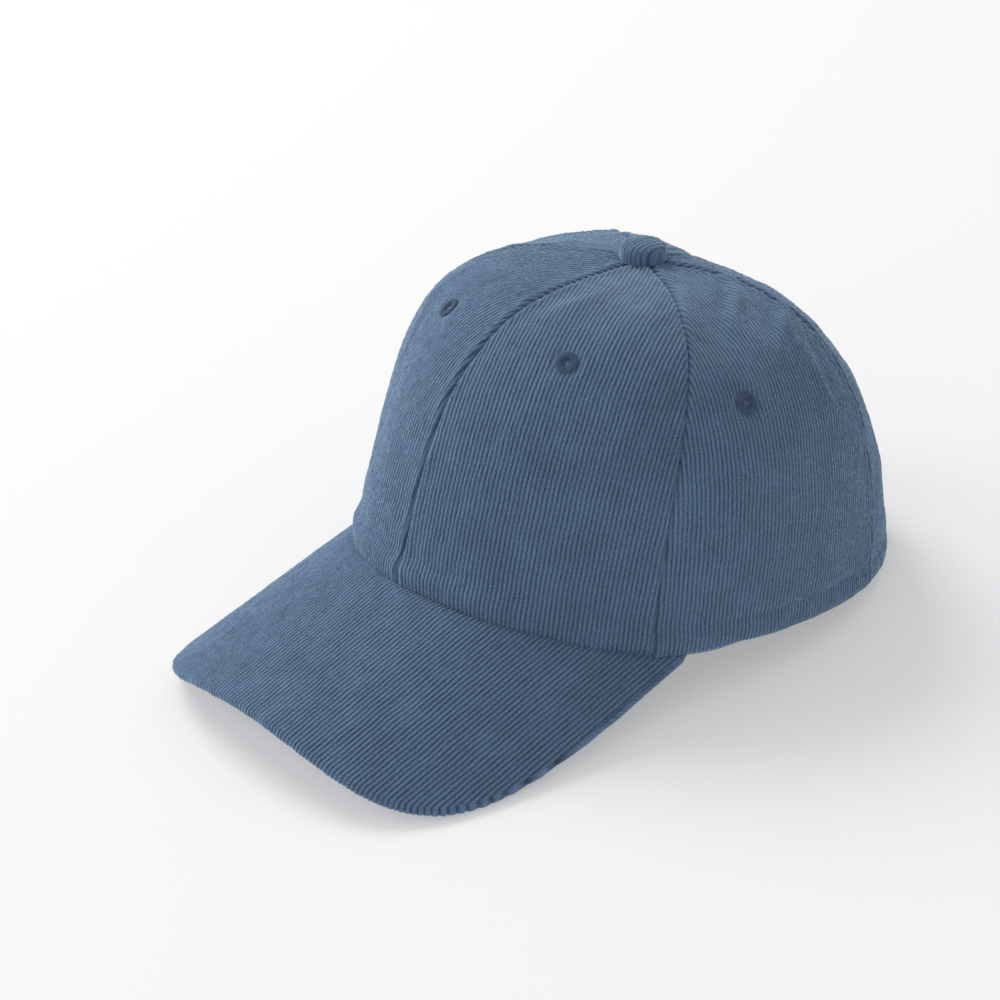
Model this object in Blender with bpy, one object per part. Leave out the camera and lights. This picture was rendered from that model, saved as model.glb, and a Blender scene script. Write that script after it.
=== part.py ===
"""Six-panel corduroy baseball cap with a curved visor and a strap-and-buckle back closure.

The cap is shaped in a pattern frame: x to the wearer's left, y to the rear, z up, with the
centre of the hem oval at x = y = 0. It is then tipped back until its rear hem and the two
front corners of the visor stand on z = 0. Sizes are in metres and angles in degrees.
"""
import functools
import math

import bmesh
import bpy
from mathutils import Matrix, Vector

# Crown outline
HEM_HALF_WIDTH = 0.0839
HEM_FRONT = 0.1009
HEM_REAR = 0.1073
CROWN_HEIGHT = 0.1243
APEX_SHIFT = 0.0070
REAR_HEM_HEIGHT = 0.0069
HEM_BOW = 0.0008
FULLNESS_FRONT = 3.83
FULLNESS_SIDE = 2.90
FULLNESS_REAR = 2.04
FULLNESS_QUARTER = 1.15
TAPER_FRONT = 0.215
TAPER_SIDE = -0.103
TAPER_REAR = 0.225
TAPER_QUARTER = 0.135

# Seams between the six panels, as angles round the hem from the centre front
SIDE_SEAM_HEM = 60.1
SIDE_SEAM_TOP = 75.2
REAR_SEAM = 118.6
SEAM_SWING = 1.5

# Cloth and what lies behind it
FIT_GAP = 0.0003
SEAM_GAP = 0.0004
LAYER_GAP = 0.0005
CLOTH = 0.0013
BUCKRAM = 0.0008
TAPE = 0.0006
TAPE_WIDTH = 0.012
TAPE_END_RADIUS = 0.014
SWEATBAND = 0.0012
SWEATBAND_WIDTH = 0.032
SWEATBAND_LIFT = 0.002
SWEATBAND_END_GAP = 1.5
APEX_HOLE_RADIUS = 0.005

# Visor
VISOR_LENGTH = 0.0696
VISOR_ROOT_HEIGHT = 0.0343
VISOR_END_ANGLE = 72.7
VISOR_FLARE = 0.004
VISOR_SLOPE = 22.0
VISOR_BEND_RADIUS = 0.106
VISOR_BEND_OPENING = 0.184
VISOR_BEND_BACK = -0.0375
VISOR_CORNER = 4.2
VISOR_FRONT_CORNER = 4.29
VISOR_END_TRIM = 86.0
VISOR_CLOTH = 0.0010
VISOR_BOARD = 0.0014
VISOR_LINING = 0.0008
VISOR_LIP = 0.0016
VISOR_LAYER_GAP = 0.0004
VISOR_HEM_GAP = 0.0005

# Eyelets, as the angle round the hem and the angle up the crown
EYELET_PLACES = {"front": (33.0, 46.0), "side": (82.0, 43.5), "back": (148.0, 50.0)}
EYELET_RADIUS = 0.0041
EYELET_HOLE_RADIUS = 0.0011
EYELET_STEM_RADIUS = 0.0021
EYELET_HEIGHT = 0.0008
EYELET_CLEARANCE = 0.0004
VENT_CUT_DEPTH = 0.006

# Top button
BUTTON_RADIUS = 0.0083
BUTTON_HEIGHT = 0.0074
BUTTON_ROUNDING = 0.5
BUTTON_LIP = 0.0009
BUTTON_CLOTH = 0.0011
BUTTON_SHELL = 0.0006
SHELL_SEAT = 0.0005
RIVET_RADIUS = 0.0020
RIVET_HEAD = 0.0012
RIVET_TAPER = 0.8
WASHER_RADIUS = 0.0072
WASHER = 0.0008
WASHER_DEPTH = 0.0034

# Back opening and its closure, measured along the rear hem, up from it and out from the crown
ARCH_HALF_WIDTH = 0.038
ARCH_HEIGHT = 0.045
BINDING_WIDTH = 0.008
BINDING = 0.0008
STRAP_WIDTH = 0.018
STRAP = 0.0016
STRAP_MID_HEIGHT = 0.0160
CLOSURE_GAP = 0.0003
STRAP_SEWN_LENGTH = 0.014
STRAP_TAIL_END = 0.054
STRAP_TAIL_CUT = 0.3
STRAP_TAIL_CURVE = 2.5
STRAP_LEAVES_HINGE = 0.05
STRAP_CROSSES = 0.52
STRAP_CROSS_DROP = 0.0003
STRAP_SETTLES = 0.4
STRAP_SETTLE_SHARE = 0.75
TAIL_GAP = 0.0005
BUCKLE_TAB_BAR = 0.024
BUCKLE_HINGE_BAR = 0.009
BUCKLE_LAYER = -0.0004
BUCKLE_WIRE = 0.0020
BUCKLE_SIDE_GAP = 0.0010
BUCKLE_CLEARANCE = 0.0005
LEVER_SHEET = 0.0008
LEVER_LENGTH = 0.0150
LEVER_WIDTH = 0.0160
LEVER_TILT = 16.0
LEVER_LIP = 0.0020
LEVER_LIP_LIFT = 40.0
LEVER_CURL_START = 90.0
LEVER_CURL_SWEEP = 315.0
LEVER_STATIONS = (0.3, 0.65, 1.0)
TAB_CLOTH = 0.0013
TAB_LEAD = 0.007
TAB_EASE = 0.0045
TAB_LOOP_START = -90.0
TAB_LOOP_SWEEP = 270.0
STRAP_EASE = 0.012
KEEPER_PLACE = 0.046
KEEPER_WIDTH = 0.007
KEEPER_CLOTH = 0.0010
KEEPER_GAP = 0.0005

# Care label hanging inside the rear of the sweatband
LABEL_ANGLE = -136.0
LABEL_TOP = 0.031
LABEL_WIDTH = 0.022
LABEL_DROP = 0.024
LABEL_SHEET = 0.0005
LABEL_GAP = 0.0014

# Resting attitude on a table
REST_TILT = 5.16
HEM_SETTLE = 0.0004

# Mesh fineness
PANEL_COLUMNS = 8
PANEL_ROWS = 18
BESIDE_ARCH_COLUMNS = 4
ARCH_COLUMNS = 7
SWEATBAND_COLUMNS = 36
SWEATBAND_ROWS = 2
VISOR_COLUMNS = 22
VISOR_SHARES = (0.0, 0.2, 0.4, 0.6, 0.8, 1.0)
ROUND_STEPS = 16
BUTTON_STEPS = 20
EYELET_STEPS = 12
DOME_STEPS = 5
WIRE_STEPS = 10
SLOPE_STEP = 0.0005
TURN_STEP = 0.002
SOLVE_STEPS = 12
TAB_LOOP_STEPS = 10
LEVER_CURL_STEPS = 11
BINDING_STEPS = 20
CORNER_STEPS = 3
SHARP_ANGLE = 40.0


def blended(front, side, rear, quarter, phi):
    """A shape value at an angle round the hem, with its addition at the front quarters."""
    ahead = max(math.cos(phi), 0.0)
    behind = max(-math.cos(phi), 0.0)
    across = 1.0 - ahead ** 2 - behind ** 2
    corner = (2.0 * math.sin(phi) * ahead) ** 2
    return front * ahead ** 2 + side * across + rear * behind ** 2 + quarter * corner


def fullness_at(phi):
    """How square the crown's profile is at an angle round the hem."""
    return blended(FULLNESS_FRONT, FULLNESS_SIDE, FULLNESS_REAR, FULLNESS_QUARTER, phi)


def taper_at(phi):
    """How much the crown draws in towards its top at an angle round the hem."""
    return blended(TAPER_FRONT, TAPER_SIDE, TAPER_REAR, TAPER_QUARTER, phi)


def visor_bend(v):
    """Radius of the visor's sideways bend at a distance forward of its root."""
    return VISOR_BEND_RADIUS + VISOR_BEND_OPENING * max(v, VISOR_BEND_BACK)


def visor_run(x, y):
    """Distance forward along the visor's slope, and the drop of its bend, at a plan point."""
    slope = math.radians(VISOR_SLOPE)
    v = 0.0
    for _ in range(SOLVE_STEPS):
        bend = visor_bend(v)
        drop = bend - math.sqrt(bend * bend - x * x)
        v = (drop * math.sin(slope) - (y + HEM_FRONT)) / math.cos(slope)
    return v, drop


def visor_height(x, y):
    """Height of the visor's upper face over a plan point."""
    slope = math.radians(VISOR_SLOPE)
    v, drop = visor_run(x, y)
    return VISOR_ROOT_HEIGHT - v * math.sin(slope) - drop * math.cos(slope)


def hem_plan(phi, offset=0.0):
    """Plan point on the hem oval, or on one larger by offset."""
    reach = HEM_FRONT if math.cos(phi) > 0.0 else HEM_REAR
    return (HEM_HALF_WIDTH + offset) * math.sin(phi), -(reach + offset) * math.cos(phi)


def visor_end_plan():
    """Plan point where the visor's root ends on the hem oval."""
    return hem_plan(math.radians(VISOR_END_ANGLE))


def visor_half_arc():
    """Half the width of the visor's root, measured round its bend."""
    return VISOR_BEND_RADIUS * math.asin(visor_end_plan()[0] / VISOR_BEND_RADIUS)


def settled(point):
    """Pattern point tipped back to the resting attitude."""
    return Matrix.Rotation(-math.radians(REST_TILT), 3, "X") @ point


@functools.cache
def table_level():
    """Level of the table under the tipped cap: that of the visor's lowest corner."""
    edge = [visor_at(turn, 1.0, visor_depth()) for turn in visor_turns()]
    return min(settled(point).z for point in edge)


def table_height(y):
    """Height of the table in the pattern frame, at a distance to the rear."""
    tilt = math.radians(REST_TILT)
    return (table_level() + y * math.sin(tilt)) / math.cos(tilt)


def hem_height(phi):
    """The hem follows the visor's root in front, runs down to the rear and then along the table."""
    x, y = hem_plan(phi)
    end_x, end_y = visor_end_plan()
    if y <= end_y:
        return visor_height(x, y)
    end_z = visor_height(end_x, end_y)
    share = (y - end_y) / (HEM_REAR - end_y)
    line = end_z + (REAR_HEM_HEIGHT - end_z) * share + HEM_BOW * math.sin(math.pi * share) ** 2
    return max(line, table_height(y))


def crown_point(phi, alpha):
    """Point of the crown's outer face: phi round the hem, alpha from hem (0) to apex (pi/2)."""
    fullness = fullness_at(phi)
    taper = taper_at(phi)
    rounding = (math.cos(alpha) ** fullness + math.sin(alpha) ** fullness) ** (-1.0 / fullness)
    rise = math.sin(alpha) * rounding
    spread = math.cos(alpha) * rounding * (1.0 - taper * rise)
    x, y = hem_plan(phi)
    z = hem_height(phi)
    return Vector((x * spread,
                   APEX_SHIFT + (y - APEX_SHIFT) * spread,
                   z + (CROWN_HEIGHT - z) * rise))


def crown_slopes(phi, alpha):
    """Derivatives of the crown's outer face round the hem and up the crown."""
    step = SLOPE_STEP
    low = max(alpha - step, 0.0)
    around = (crown_point(phi + step, alpha) - crown_point(phi - step, alpha)) / (2.0 * step)
    up = (crown_point(phi, low + 2.0 * step) - crown_point(phi, low)) / (2.0 * step)
    return around, up


def crown_at(phi, alpha, outward=0.0):
    """Crown point moved out along the face's normal."""
    around, up = crown_slopes(phi, alpha)
    return crown_point(phi, alpha) + around.cross(up).normalized() * outward


def apex_angle(phi, radius):
    """Angle up the crown at which it comes within a radius of the apex."""
    x, y = hem_plan(phi)
    reach = math.hypot(x, y - APEX_SHIFT) * (1.0 - taper_at(phi))
    return math.atan(reach / radius)


def side_seam(share):
    """The front side seam swings back as it climbs: its angle at a share of the climb."""
    climb = share * apex_angle(math.radians(SIDE_SEAM_TOP), APEX_HOLE_RADIUS)
    turned = math.atan(math.tan(climb) ** SEAM_SWING) / (math.pi / 2.0)
    return math.radians(SIDE_SEAM_HEM + (SIDE_SEAM_TOP - SIDE_SEAM_HEM) * turned)


def rear_seam(share):
    """The rear side seam keeps one angle."""
    return math.radians(REAR_SEAM)


def centre_seam(share):
    """Centre front."""
    return 0.0


def back_seam(share):
    """Centre back."""
    return math.pi


def rear_rise():
    """Height of the apex above the rear hem."""
    return CROWN_HEIGHT - hem_height(math.pi)


def rear_place(along, height):
    """Crown angles of a point measured along the hem from centre back to the right, and up from it."""
    return math.pi + along / HEM_HALF_WIDTH, height / rear_rise()


def rear_at(along, height, outward):
    """Point near the rear of the crown, measured along the hem, up from it and outward."""
    phi, alpha = rear_place(along, height)
    return crown_at(phi, alpha, outward)


def arch_angle(phi):
    """Angle up the crown of the back opening's edge, or 0 beside the opening."""
    along = (math.pi - abs(phi)) * HEM_HALF_WIDTH / ARCH_HALF_WIDTH
    if along >= 1.0:
        return 0.0
    return rear_place(0.0, ARCH_HEIGHT)[1] * math.sqrt(1.0 - along * along)


def closure_depth():
    """Depth of the arch binding's inner face, which the strap and the tab are sewn behind."""
    return CLOTH + LAYER_GAP + BINDING + CLOSURE_GAP


def strap_layer():
    """Middle layer of the strap where it is sewn behind the crown."""
    return -closure_depth() - STRAP / 2.0


def tab_layer():
    """Middle layer of the tab where it is sewn behind the crown."""
    return -closure_depth() - TAB_CLOTH / 2.0


def tail_layer():
    """Middle layer of the strap's tail on the outside of the crown."""
    return TAIL_GAP + STRAP / 2.0


def sweatband_depth():
    """Depth of the sweatband's outer face, clear of the strap and the tab."""
    return closure_depth() + max(STRAP, TAB_CLOTH) + LAYER_GAP


def new_material(name, colour, roughness, metallic=0.0):
    """Material of one colour, roughness and metallic value."""
    material = bpy.data.materials.new(name)
    material.use_nodes = True
    shader = material.node_tree.nodes["Principled BSDF"]
    shader.inputs["Base Color"].default_value = (*colour, 1.0)
    shader.inputs["Roughness"].default_value = roughness
    shader.inputs["Metallic"].default_value = metallic
    return material


def corduroy(name):
    return new_material(name + "_corduroy", (0.09, 0.16, 0.28), 0.9)


def twill(name):
    return new_material(name + "_twill", (0.08, 0.13, 0.22), 0.85)


def tape_cloth(name):
    return new_material(name + "_tape", (0.10, 0.15, 0.24), 0.85)


def stiffener(name):
    return new_material(name + "_stiffener", (0.75, 0.73, 0.68), 0.9)


def board_plastic(name):
    return new_material(name + "_board", (0.65, 0.65, 0.62), 0.5)


def thread(name):
    return new_material(name + "_thread", (0.04, 0.08, 0.16), 0.7)


def metal(name):
    return new_material(name + "_metal", (0.45, 0.42, 0.38), 0.35, 1.0)


def label_satin(name):
    return new_material(name + "_satin", (0.85, 0.85, 0.83), 0.5)


def add_solid(name, points, faces, material, pivot=None):
    """Closed object from pattern points, with its origin on a pivot given in the pattern frame."""
    origin = settled(pivot) if pivot is not None else Vector((0.0, 0.0, 0.0))
    mesh = bpy.data.meshes.new(name)
    mesh.from_pydata([settled(Vector(p)) - origin for p in points], [], faces)
    work = bmesh.new()
    work.from_mesh(mesh)
    bmesh.ops.recalc_face_normals(work, faces=work.faces)
    work.to_mesh(mesh)
    work.free()
    mesh.materials.append(material(name))
    mesh.shade_smooth()
    mesh.set_sharp_from_angle(angle=math.radians(SHARP_ANGLE))
    solid = bpy.data.objects.new(name, mesh)
    solid.location = origin
    bpy.context.scene.collection.objects.link(solid)
    return solid


def slab(name, outer, inner, material, pivot=None):
    """Closed sheet between two grids of points with the same number of rows and columns."""
    rows = len(outer)
    columns = len(outer[0])
    points = [p for row in outer for p in row] + [p for row in inner for p in row]
    back = rows * columns

    def at(row, column):
        return row * columns + column

    faces = []
    for r in range(rows - 1):
        for c in range(columns - 1):
            quad = [at(r, c), at(r, c + 1), at(r + 1, c + 1), at(r + 1, c)]
            faces.append(quad)
            faces.append([back + i for i in reversed(quad)])
    rim = [at(0, c) for c in range(columns)]
    rim += [at(r, columns - 1) for r in range(1, rows)]
    rim += [at(rows - 1, c) for c in range(columns - 2, -1, -1)]
    rim += [at(r, 0) for r in range(rows - 2, 0, -1)]
    for i, first in enumerate(rim):
        second = rim[(i + 1) % len(rim)]
        faces.append([second, first, back + first, back + second])
    return add_solid(name, points, faces, material, pivot)


def prism(name, outline, levels, place, material, pivot=None):
    """Closed outline carried through levels; place(u, w, level) gives each point."""
    points = [place(u, w, level) for level in levels for u, w in outline]
    count = len(outline)
    faces = [list(range(count)), list(range(count * (len(levels) - 1), count * len(levels)))]
    for n in range(len(levels) - 1):
        for i in range(count):
            j = (i + 1) % count
            faces.append([n * count + i, n * count + j, (n + 1) * count + j, (n + 1) * count + i])
    return add_solid(name, points, faces, material, pivot)


def ribbon_outline(path, thickness):
    """Outline of a strip of even thickness whose middle follows a path of (u, w) points."""
    left = []
    right = []
    for i, (u, w) in enumerate(path):
        before = path[max(i - 1, 0)]
        after = path[min(i + 1, len(path) - 1)]
        du = after[0] - before[0]
        dw = after[1] - before[1]
        scale = thickness / 2.0 / math.hypot(du, dw)
        left.append((u - dw * scale, w + du * scale))
        right.append((u + dw * scale, w - du * scale))
    return left + right[::-1]


def ribbon(name, path, thickness, levels, place, material, pivot=None):
    """Strip of even thickness along a path, carried through levels."""
    sides = ribbon_outline(path, thickness)
    count = len(path)
    left = sides[:count]
    right = sides[:count - 1:-1]
    outer = [[place(u, w, level) for u, w in left] for level in levels]
    inner = [[place(u, w, level) for u, w in right] for level in levels]
    return slab(name, outer, inner, material, pivot)


def lathe(name, profile, axis_place, material, pivot=None, steps=ROUND_STEPS):
    """Solid turned from a closed profile of (radius, height) points about an axis."""
    points = []
    rings = []
    for radius, height in profile:
        if radius == 0.0:
            rings.append([len(points)])
            points.append(axis_place(0.0, 0.0, height))
            continue
        rings.append(list(range(len(points), len(points) + steps)))
        for n in range(steps):
            turn = 2.0 * math.pi * n / steps
            points.append(axis_place(radius * math.cos(turn), radius * math.sin(turn), height))
    faces = []
    for i, ring in enumerate(rings):
        other = rings[(i + 1) % len(rings)]
        for n in range(steps):
            m = (n + 1) % steps
            corners = [ring[n % len(ring)], ring[m % len(ring)],
                       other[m % len(other)], other[n % len(other)]]
            face = list(dict.fromkeys(corners))
            if len(face) > 2:
                faces.append(face)
    return add_solid(name, points, faces, material, pivot)


def dome(radius, height, base, steps=DOME_STEPS):
    """Profile points of a domed top, from the centre out to its edge at a base height."""
    arc = [math.pi / 2.0 * n / steps for n in range(steps + 1)]
    return [(radius * math.sin(a), base + (height - base) * math.cos(a) ** BUTTON_ROUNDING) for a in arc[:-1]]


def even_shares():
    """Shares of the way across a plain panel."""
    return [c / PANEL_COLUMNS for c in range(PANEL_COLUMNS + 1)]


def arch_shares():
    """Shares of the way across a back panel, closer together where the arch rises."""
    start = rear_seam(0.0)
    foot = math.pi - ARCH_HALF_WIDTH / HEM_HALF_WIDTH
    angles = [start + (foot - start) * c / BESIDE_ARCH_COLUMNS for c in range(BESIDE_ARCH_COLUMNS)]
    for c in range(ARCH_COLUMNS + 1):
        turn = math.pi / 2.0 * c / ARCH_COLUMNS
        angles.append(math.pi - (math.pi - foot) * math.cos(turn))
    return [(angle - start) / (math.pi - start) for angle in angles]


def panel_grid(low_seam, high_seam, outward, inset, low_edge, radius, shares):
    """Grid over one panel between two seams, drawn in by inset from each, at one depth."""
    grid = []
    for r in range(PANEL_ROWS + 1):
        share = r / PANEL_ROWS
        row = []
        for across in shares:
            phi = low_seam(share) * (1.0 - across) + high_seam(share) * across
            low = low_edge(phi)
            high = apex_angle(phi, radius)
            alpha = low + (high - low) * share
            around, _ = crown_slopes(phi, alpha)
            shift = inset * (1.0 - 2.0 * across) / around.length
            row.append(crown_at(phi + shift, alpha, outward))
        grid.append(row)
    return grid


def mirrored(grid):
    """The same grid on the other side of the cap."""
    return [[Vector((-p.x, p.y, p.z)) for p in row] for row in grid]


def both_sides(name, outer, inner, material):
    """Left and right copies of a sheet."""
    return [slab(name + "_left", outer, inner, material),
            slab(name + "_right", mirrored(outer), mirrored(inner), material)]


def no_edge(phi):
    """A panel that starts at the hem."""
    return 0.0


def make_panels():
    """Six corduroy panels, the two back ones cut by the arched opening."""
    spans = {"panel_front": (centre_seam, side_seam, no_edge, even_shares()),
             "panel_side": (side_seam, rear_seam, no_edge, even_shares()),
             "panel_back": (rear_seam, back_seam, arch_angle, arch_shares())}
    made = {}
    for name, (low, high, edge, shares) in spans.items():
        inset = SEAM_GAP / 2.0
        outer = panel_grid(low, high, 0.0, inset, edge, APEX_HOLE_RADIUS, shares)
        inner = panel_grid(low, high, -CLOTH, inset, edge, APEX_HOLE_RADIUS, shares)
        made[name] = both_sides(name, outer, inner, corduroy)
    return made


def make_buckram():
    """Stiff backing of the two front panels, ending short of the seams."""
    top = -CLOTH - LAYER_GAP
    shares = even_shares()

    def above_hem(phi):
        return SWEATBAND_LIFT / CROWN_HEIGHT

    def stiff_grid(outward):
        return panel_grid(centre_seam, side_seam, outward, SEAM_GAP, above_hem, TAPE_END_RADIUS, shares)

    outer = stiff_grid(top)
    inner = stiff_grid(top - BUCKRAM)
    return both_sides("buckram", outer, inner, stiffener)


def tape_grid(seam, start, outward):
    """Grid of a tape that covers one seam from a start angle to its end near the apex."""
    grid = []
    for r in range(PANEL_ROWS + 1):
        share = r / PANEL_ROWS
        high = apex_angle(seam(1.0), TAPE_END_RADIUS)
        alpha = start + (high - start) * share
        climb = alpha / apex_angle(seam(1.0), APEX_HOLE_RADIUS)
        phi = seam(climb)
        around, _ = crown_slopes(phi, alpha)
        row = []
        for side in (-1.0, 0.0, 1.0):
            turn = side * TAPE_WIDTH / 2.0 / around.length
            row.append(crown_at(phi + turn, alpha, outward))
        grid.append(row)
    return grid


def make_tapes():
    """Tapes over the inside of the seams, those in front lying on the buckram."""
    on_cloth = -CLOTH - LAYER_GAP
    on_buckram = on_cloth - BUCKRAM - LAYER_GAP
    start = SWEATBAND_LIFT / CROWN_HEIGHT
    above_arch = rear_place(0.0, ARCH_HEIGHT + BINDING_WIDTH + FIT_GAP * 2.0)[1]
    slab("tape_front_centre", tape_grid(centre_seam, start, on_buckram),
         tape_grid(centre_seam, start, on_buckram - TAPE), tape_cloth)
    slab("tape_back_centre", tape_grid(back_seam, above_arch, on_cloth),
         tape_grid(back_seam, above_arch, on_cloth - TAPE), tape_cloth)
    both_sides("tape_side", tape_grid(side_seam, start, on_buckram),
               tape_grid(side_seam, start, on_buckram - TAPE), tape_cloth)
    both_sides("tape_rear", tape_grid(rear_seam, start, on_cloth),
               tape_grid(rear_seam, start, on_cloth - TAPE), tape_cloth)


def make_sweatband():
    """Band round the inside of the hem, open across the back opening."""
    limit = math.pi - ARCH_HALF_WIDTH / HEM_HALF_WIDTH - math.radians(SWEATBAND_END_GAP)
    columns = SWEATBAND_COLUMNS
    rows = SWEATBAND_ROWS
    outer = []
    inner = []
    for r in range(rows + 1):
        height = SWEATBAND_LIFT + SWEATBAND_WIDTH * r / rows
        alpha = height / rear_rise()
        angles = [-limit + 2.0 * limit * c / columns for c in range(columns + 1)]
        outer.append([crown_at(a, alpha, -sweatband_depth()) for a in angles])
        inner.append([crown_at(a, alpha, -sweatband_depth() - SWEATBAND) for a in angles])
    return slab("sweatband", outer, inner, twill)


def make_arch_binding():
    """Facing sewn inside the edge of the back opening."""
    steps = BINDING_STEPS
    top = -CLOTH - LAYER_GAP
    outer = []
    inner = []
    for offset in (FIT_GAP, BINDING_WIDTH):
        turns = [math.pi * n / steps for n in range(steps + 1)]
        ring = [rear_place((ARCH_HALF_WIDTH + offset) * math.cos(t),
                           SWEATBAND_LIFT + (ARCH_HEIGHT + offset - SWEATBAND_LIFT) * math.sin(t))
                for t in turns]
        outer.append([crown_at(phi, alpha, top) for phi, alpha in ring])
        inner.append([crown_at(phi, alpha, top - BINDING) for phi, alpha in ring])
    return slab("arch_binding", outer, inner, tape_cloth)


def eyelet_frame(phi, alpha):
    """Place on the crown's face, and a function of (across, up, out) round it."""
    around, up = crown_slopes(phi, alpha)
    out = around.cross(up).normalized()
    across = around.normalized()
    high = out.cross(across)
    centre = crown_point(phi, alpha)

    def place(a, b, c):
        return centre + across * a + high * b + out * c
    return place


def cut_round(target, place):
    """Cut a round hole through a sheet with a Boolean."""
    radius = EYELET_STEM_RADIUS + EYELET_CLEARANCE
    depth = VENT_CUT_DEPTH
    profile = [(0.0, depth), (radius, depth), (radius, -depth), (0.0, -depth)]
    cutter = lathe("cutter_" + target.name, profile, place, thread, steps=EYELET_STEPS)
    cutter.hide_render = True
    cutter.display_type = "WIRE"
    cut = target.modifiers.new("vent", "BOOLEAN")
    cut.object = cutter
    cut.operation = "DIFFERENCE"
    cut.solver = "EXACT"
    return cutter


def make_eyelets(panels, buckrams):
    """A sewn vent eyelet in each panel, through the buckram in front."""
    crest = EYELET_HEIGHT
    foot = EYELET_CLEARANCE
    mean = (EYELET_RADIUS + EYELET_HOLE_RADIUS) / 2.0
    stem_depth = -CLOTH - FIT_GAP
    profile = [(EYELET_HOLE_RADIUS, stem_depth), (EYELET_HOLE_RADIUS, crest * 0.6),
               ((mean + EYELET_HOLE_RADIUS) / 2.0, crest + foot * 0.6), (mean, crest + foot),
               ((mean + EYELET_RADIUS) / 2.0, crest * 0.9 + foot), (EYELET_RADIUS, crest * 0.45 + foot),
               (EYELET_RADIUS, foot), (EYELET_STEM_RADIUS, foot), (EYELET_STEM_RADIUS, stem_depth)]
    made = {}
    for spot, (round_angle, climb_angle) in EYELET_PLACES.items():
        for n, side in enumerate(("left", "right")):
            sign = 1.0 if side == "left" else -1.0
            place = eyelet_frame(sign * math.radians(round_angle), math.radians(climb_angle))
            lathe("eyelet_" + spot + "_" + side, profile, place, thread, steps=EYELET_STEPS)
            targets = [panels["panel_" + spot][n]]
            if spot == "front":
                targets.append(buckrams[n])
            for target in targets:
                made[target.name] = cut_round(target, place)
    return made


def visor_root_edge(u):
    """Distance forward of the visor's root edge at an arc distance from the centre line."""
    v = 0.0
    for _ in range(SOLVE_STEPS):
        bend = visor_bend(v)
        x = bend * math.sin(u / bend)
        clear_width = HEM_HALF_WIDTH + VISOR_HEM_GAP
        y = -(HEM_FRONT + VISOR_HEM_GAP) * math.sqrt(max(0.0, 1.0 - (x / clear_width) ** 2))
        v, _ = visor_run(x, y)
    return v


def visor_outline(turn):
    """Arc distance and distance forward of the visor's outer edge, turn running across it."""
    end = visor_root_edge(visor_half_arc())
    share = abs(math.sin(turn))
    u = visor_half_arc() * (1.0 + VISOR_FLARE) * math.sin(turn)
    return u, end + (VISOR_LENGTH - end) * (1.0 - share ** VISOR_CORNER) ** (1.0 / VISOR_FRONT_CORNER)


def visor_front_edge(turn, inset):
    """The outer edge drawn in square to itself."""
    u, v = visor_outline(turn)
    near_u, near_v = visor_outline(turn - TURN_STEP)
    far_u, far_v = visor_outline(turn + TURN_STEP)
    run = math.hypot(far_u - near_u, far_v - near_v)
    return u + (far_v - near_v) / run * inset, v - (far_u - near_u) / run * inset


def visor_surface(u, v):
    """Point of the visor's upper face."""
    slope = math.radians(VISOR_SLOPE)
    bend = visor_bend(v)
    drop = bend * (1.0 - math.cos(u / bend))
    return Vector((bend * math.sin(u / bend),
                   -HEM_FRONT - v * math.cos(slope) + drop * math.sin(slope),
                   VISOR_ROOT_HEIGHT - v * math.sin(slope) - drop * math.cos(slope)))


def visor_at(turn, forward, depth, inset=0.0, end_inset=0.0):
    """Visor point at a share of the way forward, and at a depth below its upper face."""
    root_u = (visor_half_arc() - end_inset) * math.sin(turn)
    root_v = visor_root_edge(root_u)
    front_u, front_v = visor_front_edge(turn, inset)
    u = root_u + (front_u - root_u) * forward
    v = root_v + (front_v - root_v) * forward
    across = visor_surface(u + SLOPE_STEP, v) - visor_surface(u - SLOPE_STEP, v)
    ahead = visor_surface(u, v + SLOPE_STEP) - visor_surface(u, v - SLOPE_STEP)
    up = ahead.cross(across).normalized()
    return visor_surface(u, v) - up * depth


def visor_turns():
    """Stations across the visor, closer together towards its ends."""
    reach = math.radians(VISOR_END_TRIM)
    return [reach * (2.0 * n / VISOR_COLUMNS - 1.0) for n in range(VISOR_COLUMNS + 1)]


def visor_sheet(name, top, thickness, inset, material):
    """One flat layer of the visor, drawn in from its edges."""
    def level(depth):
        return [[visor_at(t, s, depth, inset, inset) for t in visor_turns()] for s in VISOR_SHARES]

    return slab(name, level(top), level(top + thickness), material)


def visor_depth():
    """Thickness of the visor's edge."""
    return VISOR_CLOTH + VISOR_BOARD + VISOR_LINING + 2.0 * VISOR_LAYER_GAP


def make_visor():
    """Corduroy top turned down over the edge, a plastic board and a lining underneath."""
    board_top = VISOR_CLOTH + VISOR_LAYER_GAP
    lining_top = board_top + VISOR_BOARD + VISOR_LAYER_GAP
    depth = visor_depth()
    turns = visor_turns()
    outer = [[visor_at(t, s, 0.0, VISOR_LIP) for t in turns] for s in VISOR_SHARES]
    inner = [[visor_at(t, s, VISOR_CLOTH, VISOR_LIP) for t in turns] for s in VISOR_SHARES]
    outer.append([visor_at(t, 1.0, 0.0, VISOR_LIP / 3.0) for t in turns])
    inner.append([visor_at(t, 1.0, depth, VISOR_LIP) for t in turns])
    outer.append([visor_at(t, 1.0, VISOR_CLOTH) for t in turns])
    inner.append([visor_at(t, 1.0, depth) for t in turns])
    slab("visor_top_cover", outer, inner, corduroy)
    inset = VISOR_LIP + VISOR_LAYER_GAP
    visor_sheet("visor_board", board_top, VISOR_BOARD, inset, board_plastic)
    visor_sheet("visor_lining", lining_top, VISOR_LINING, inset, corduroy)


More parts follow.
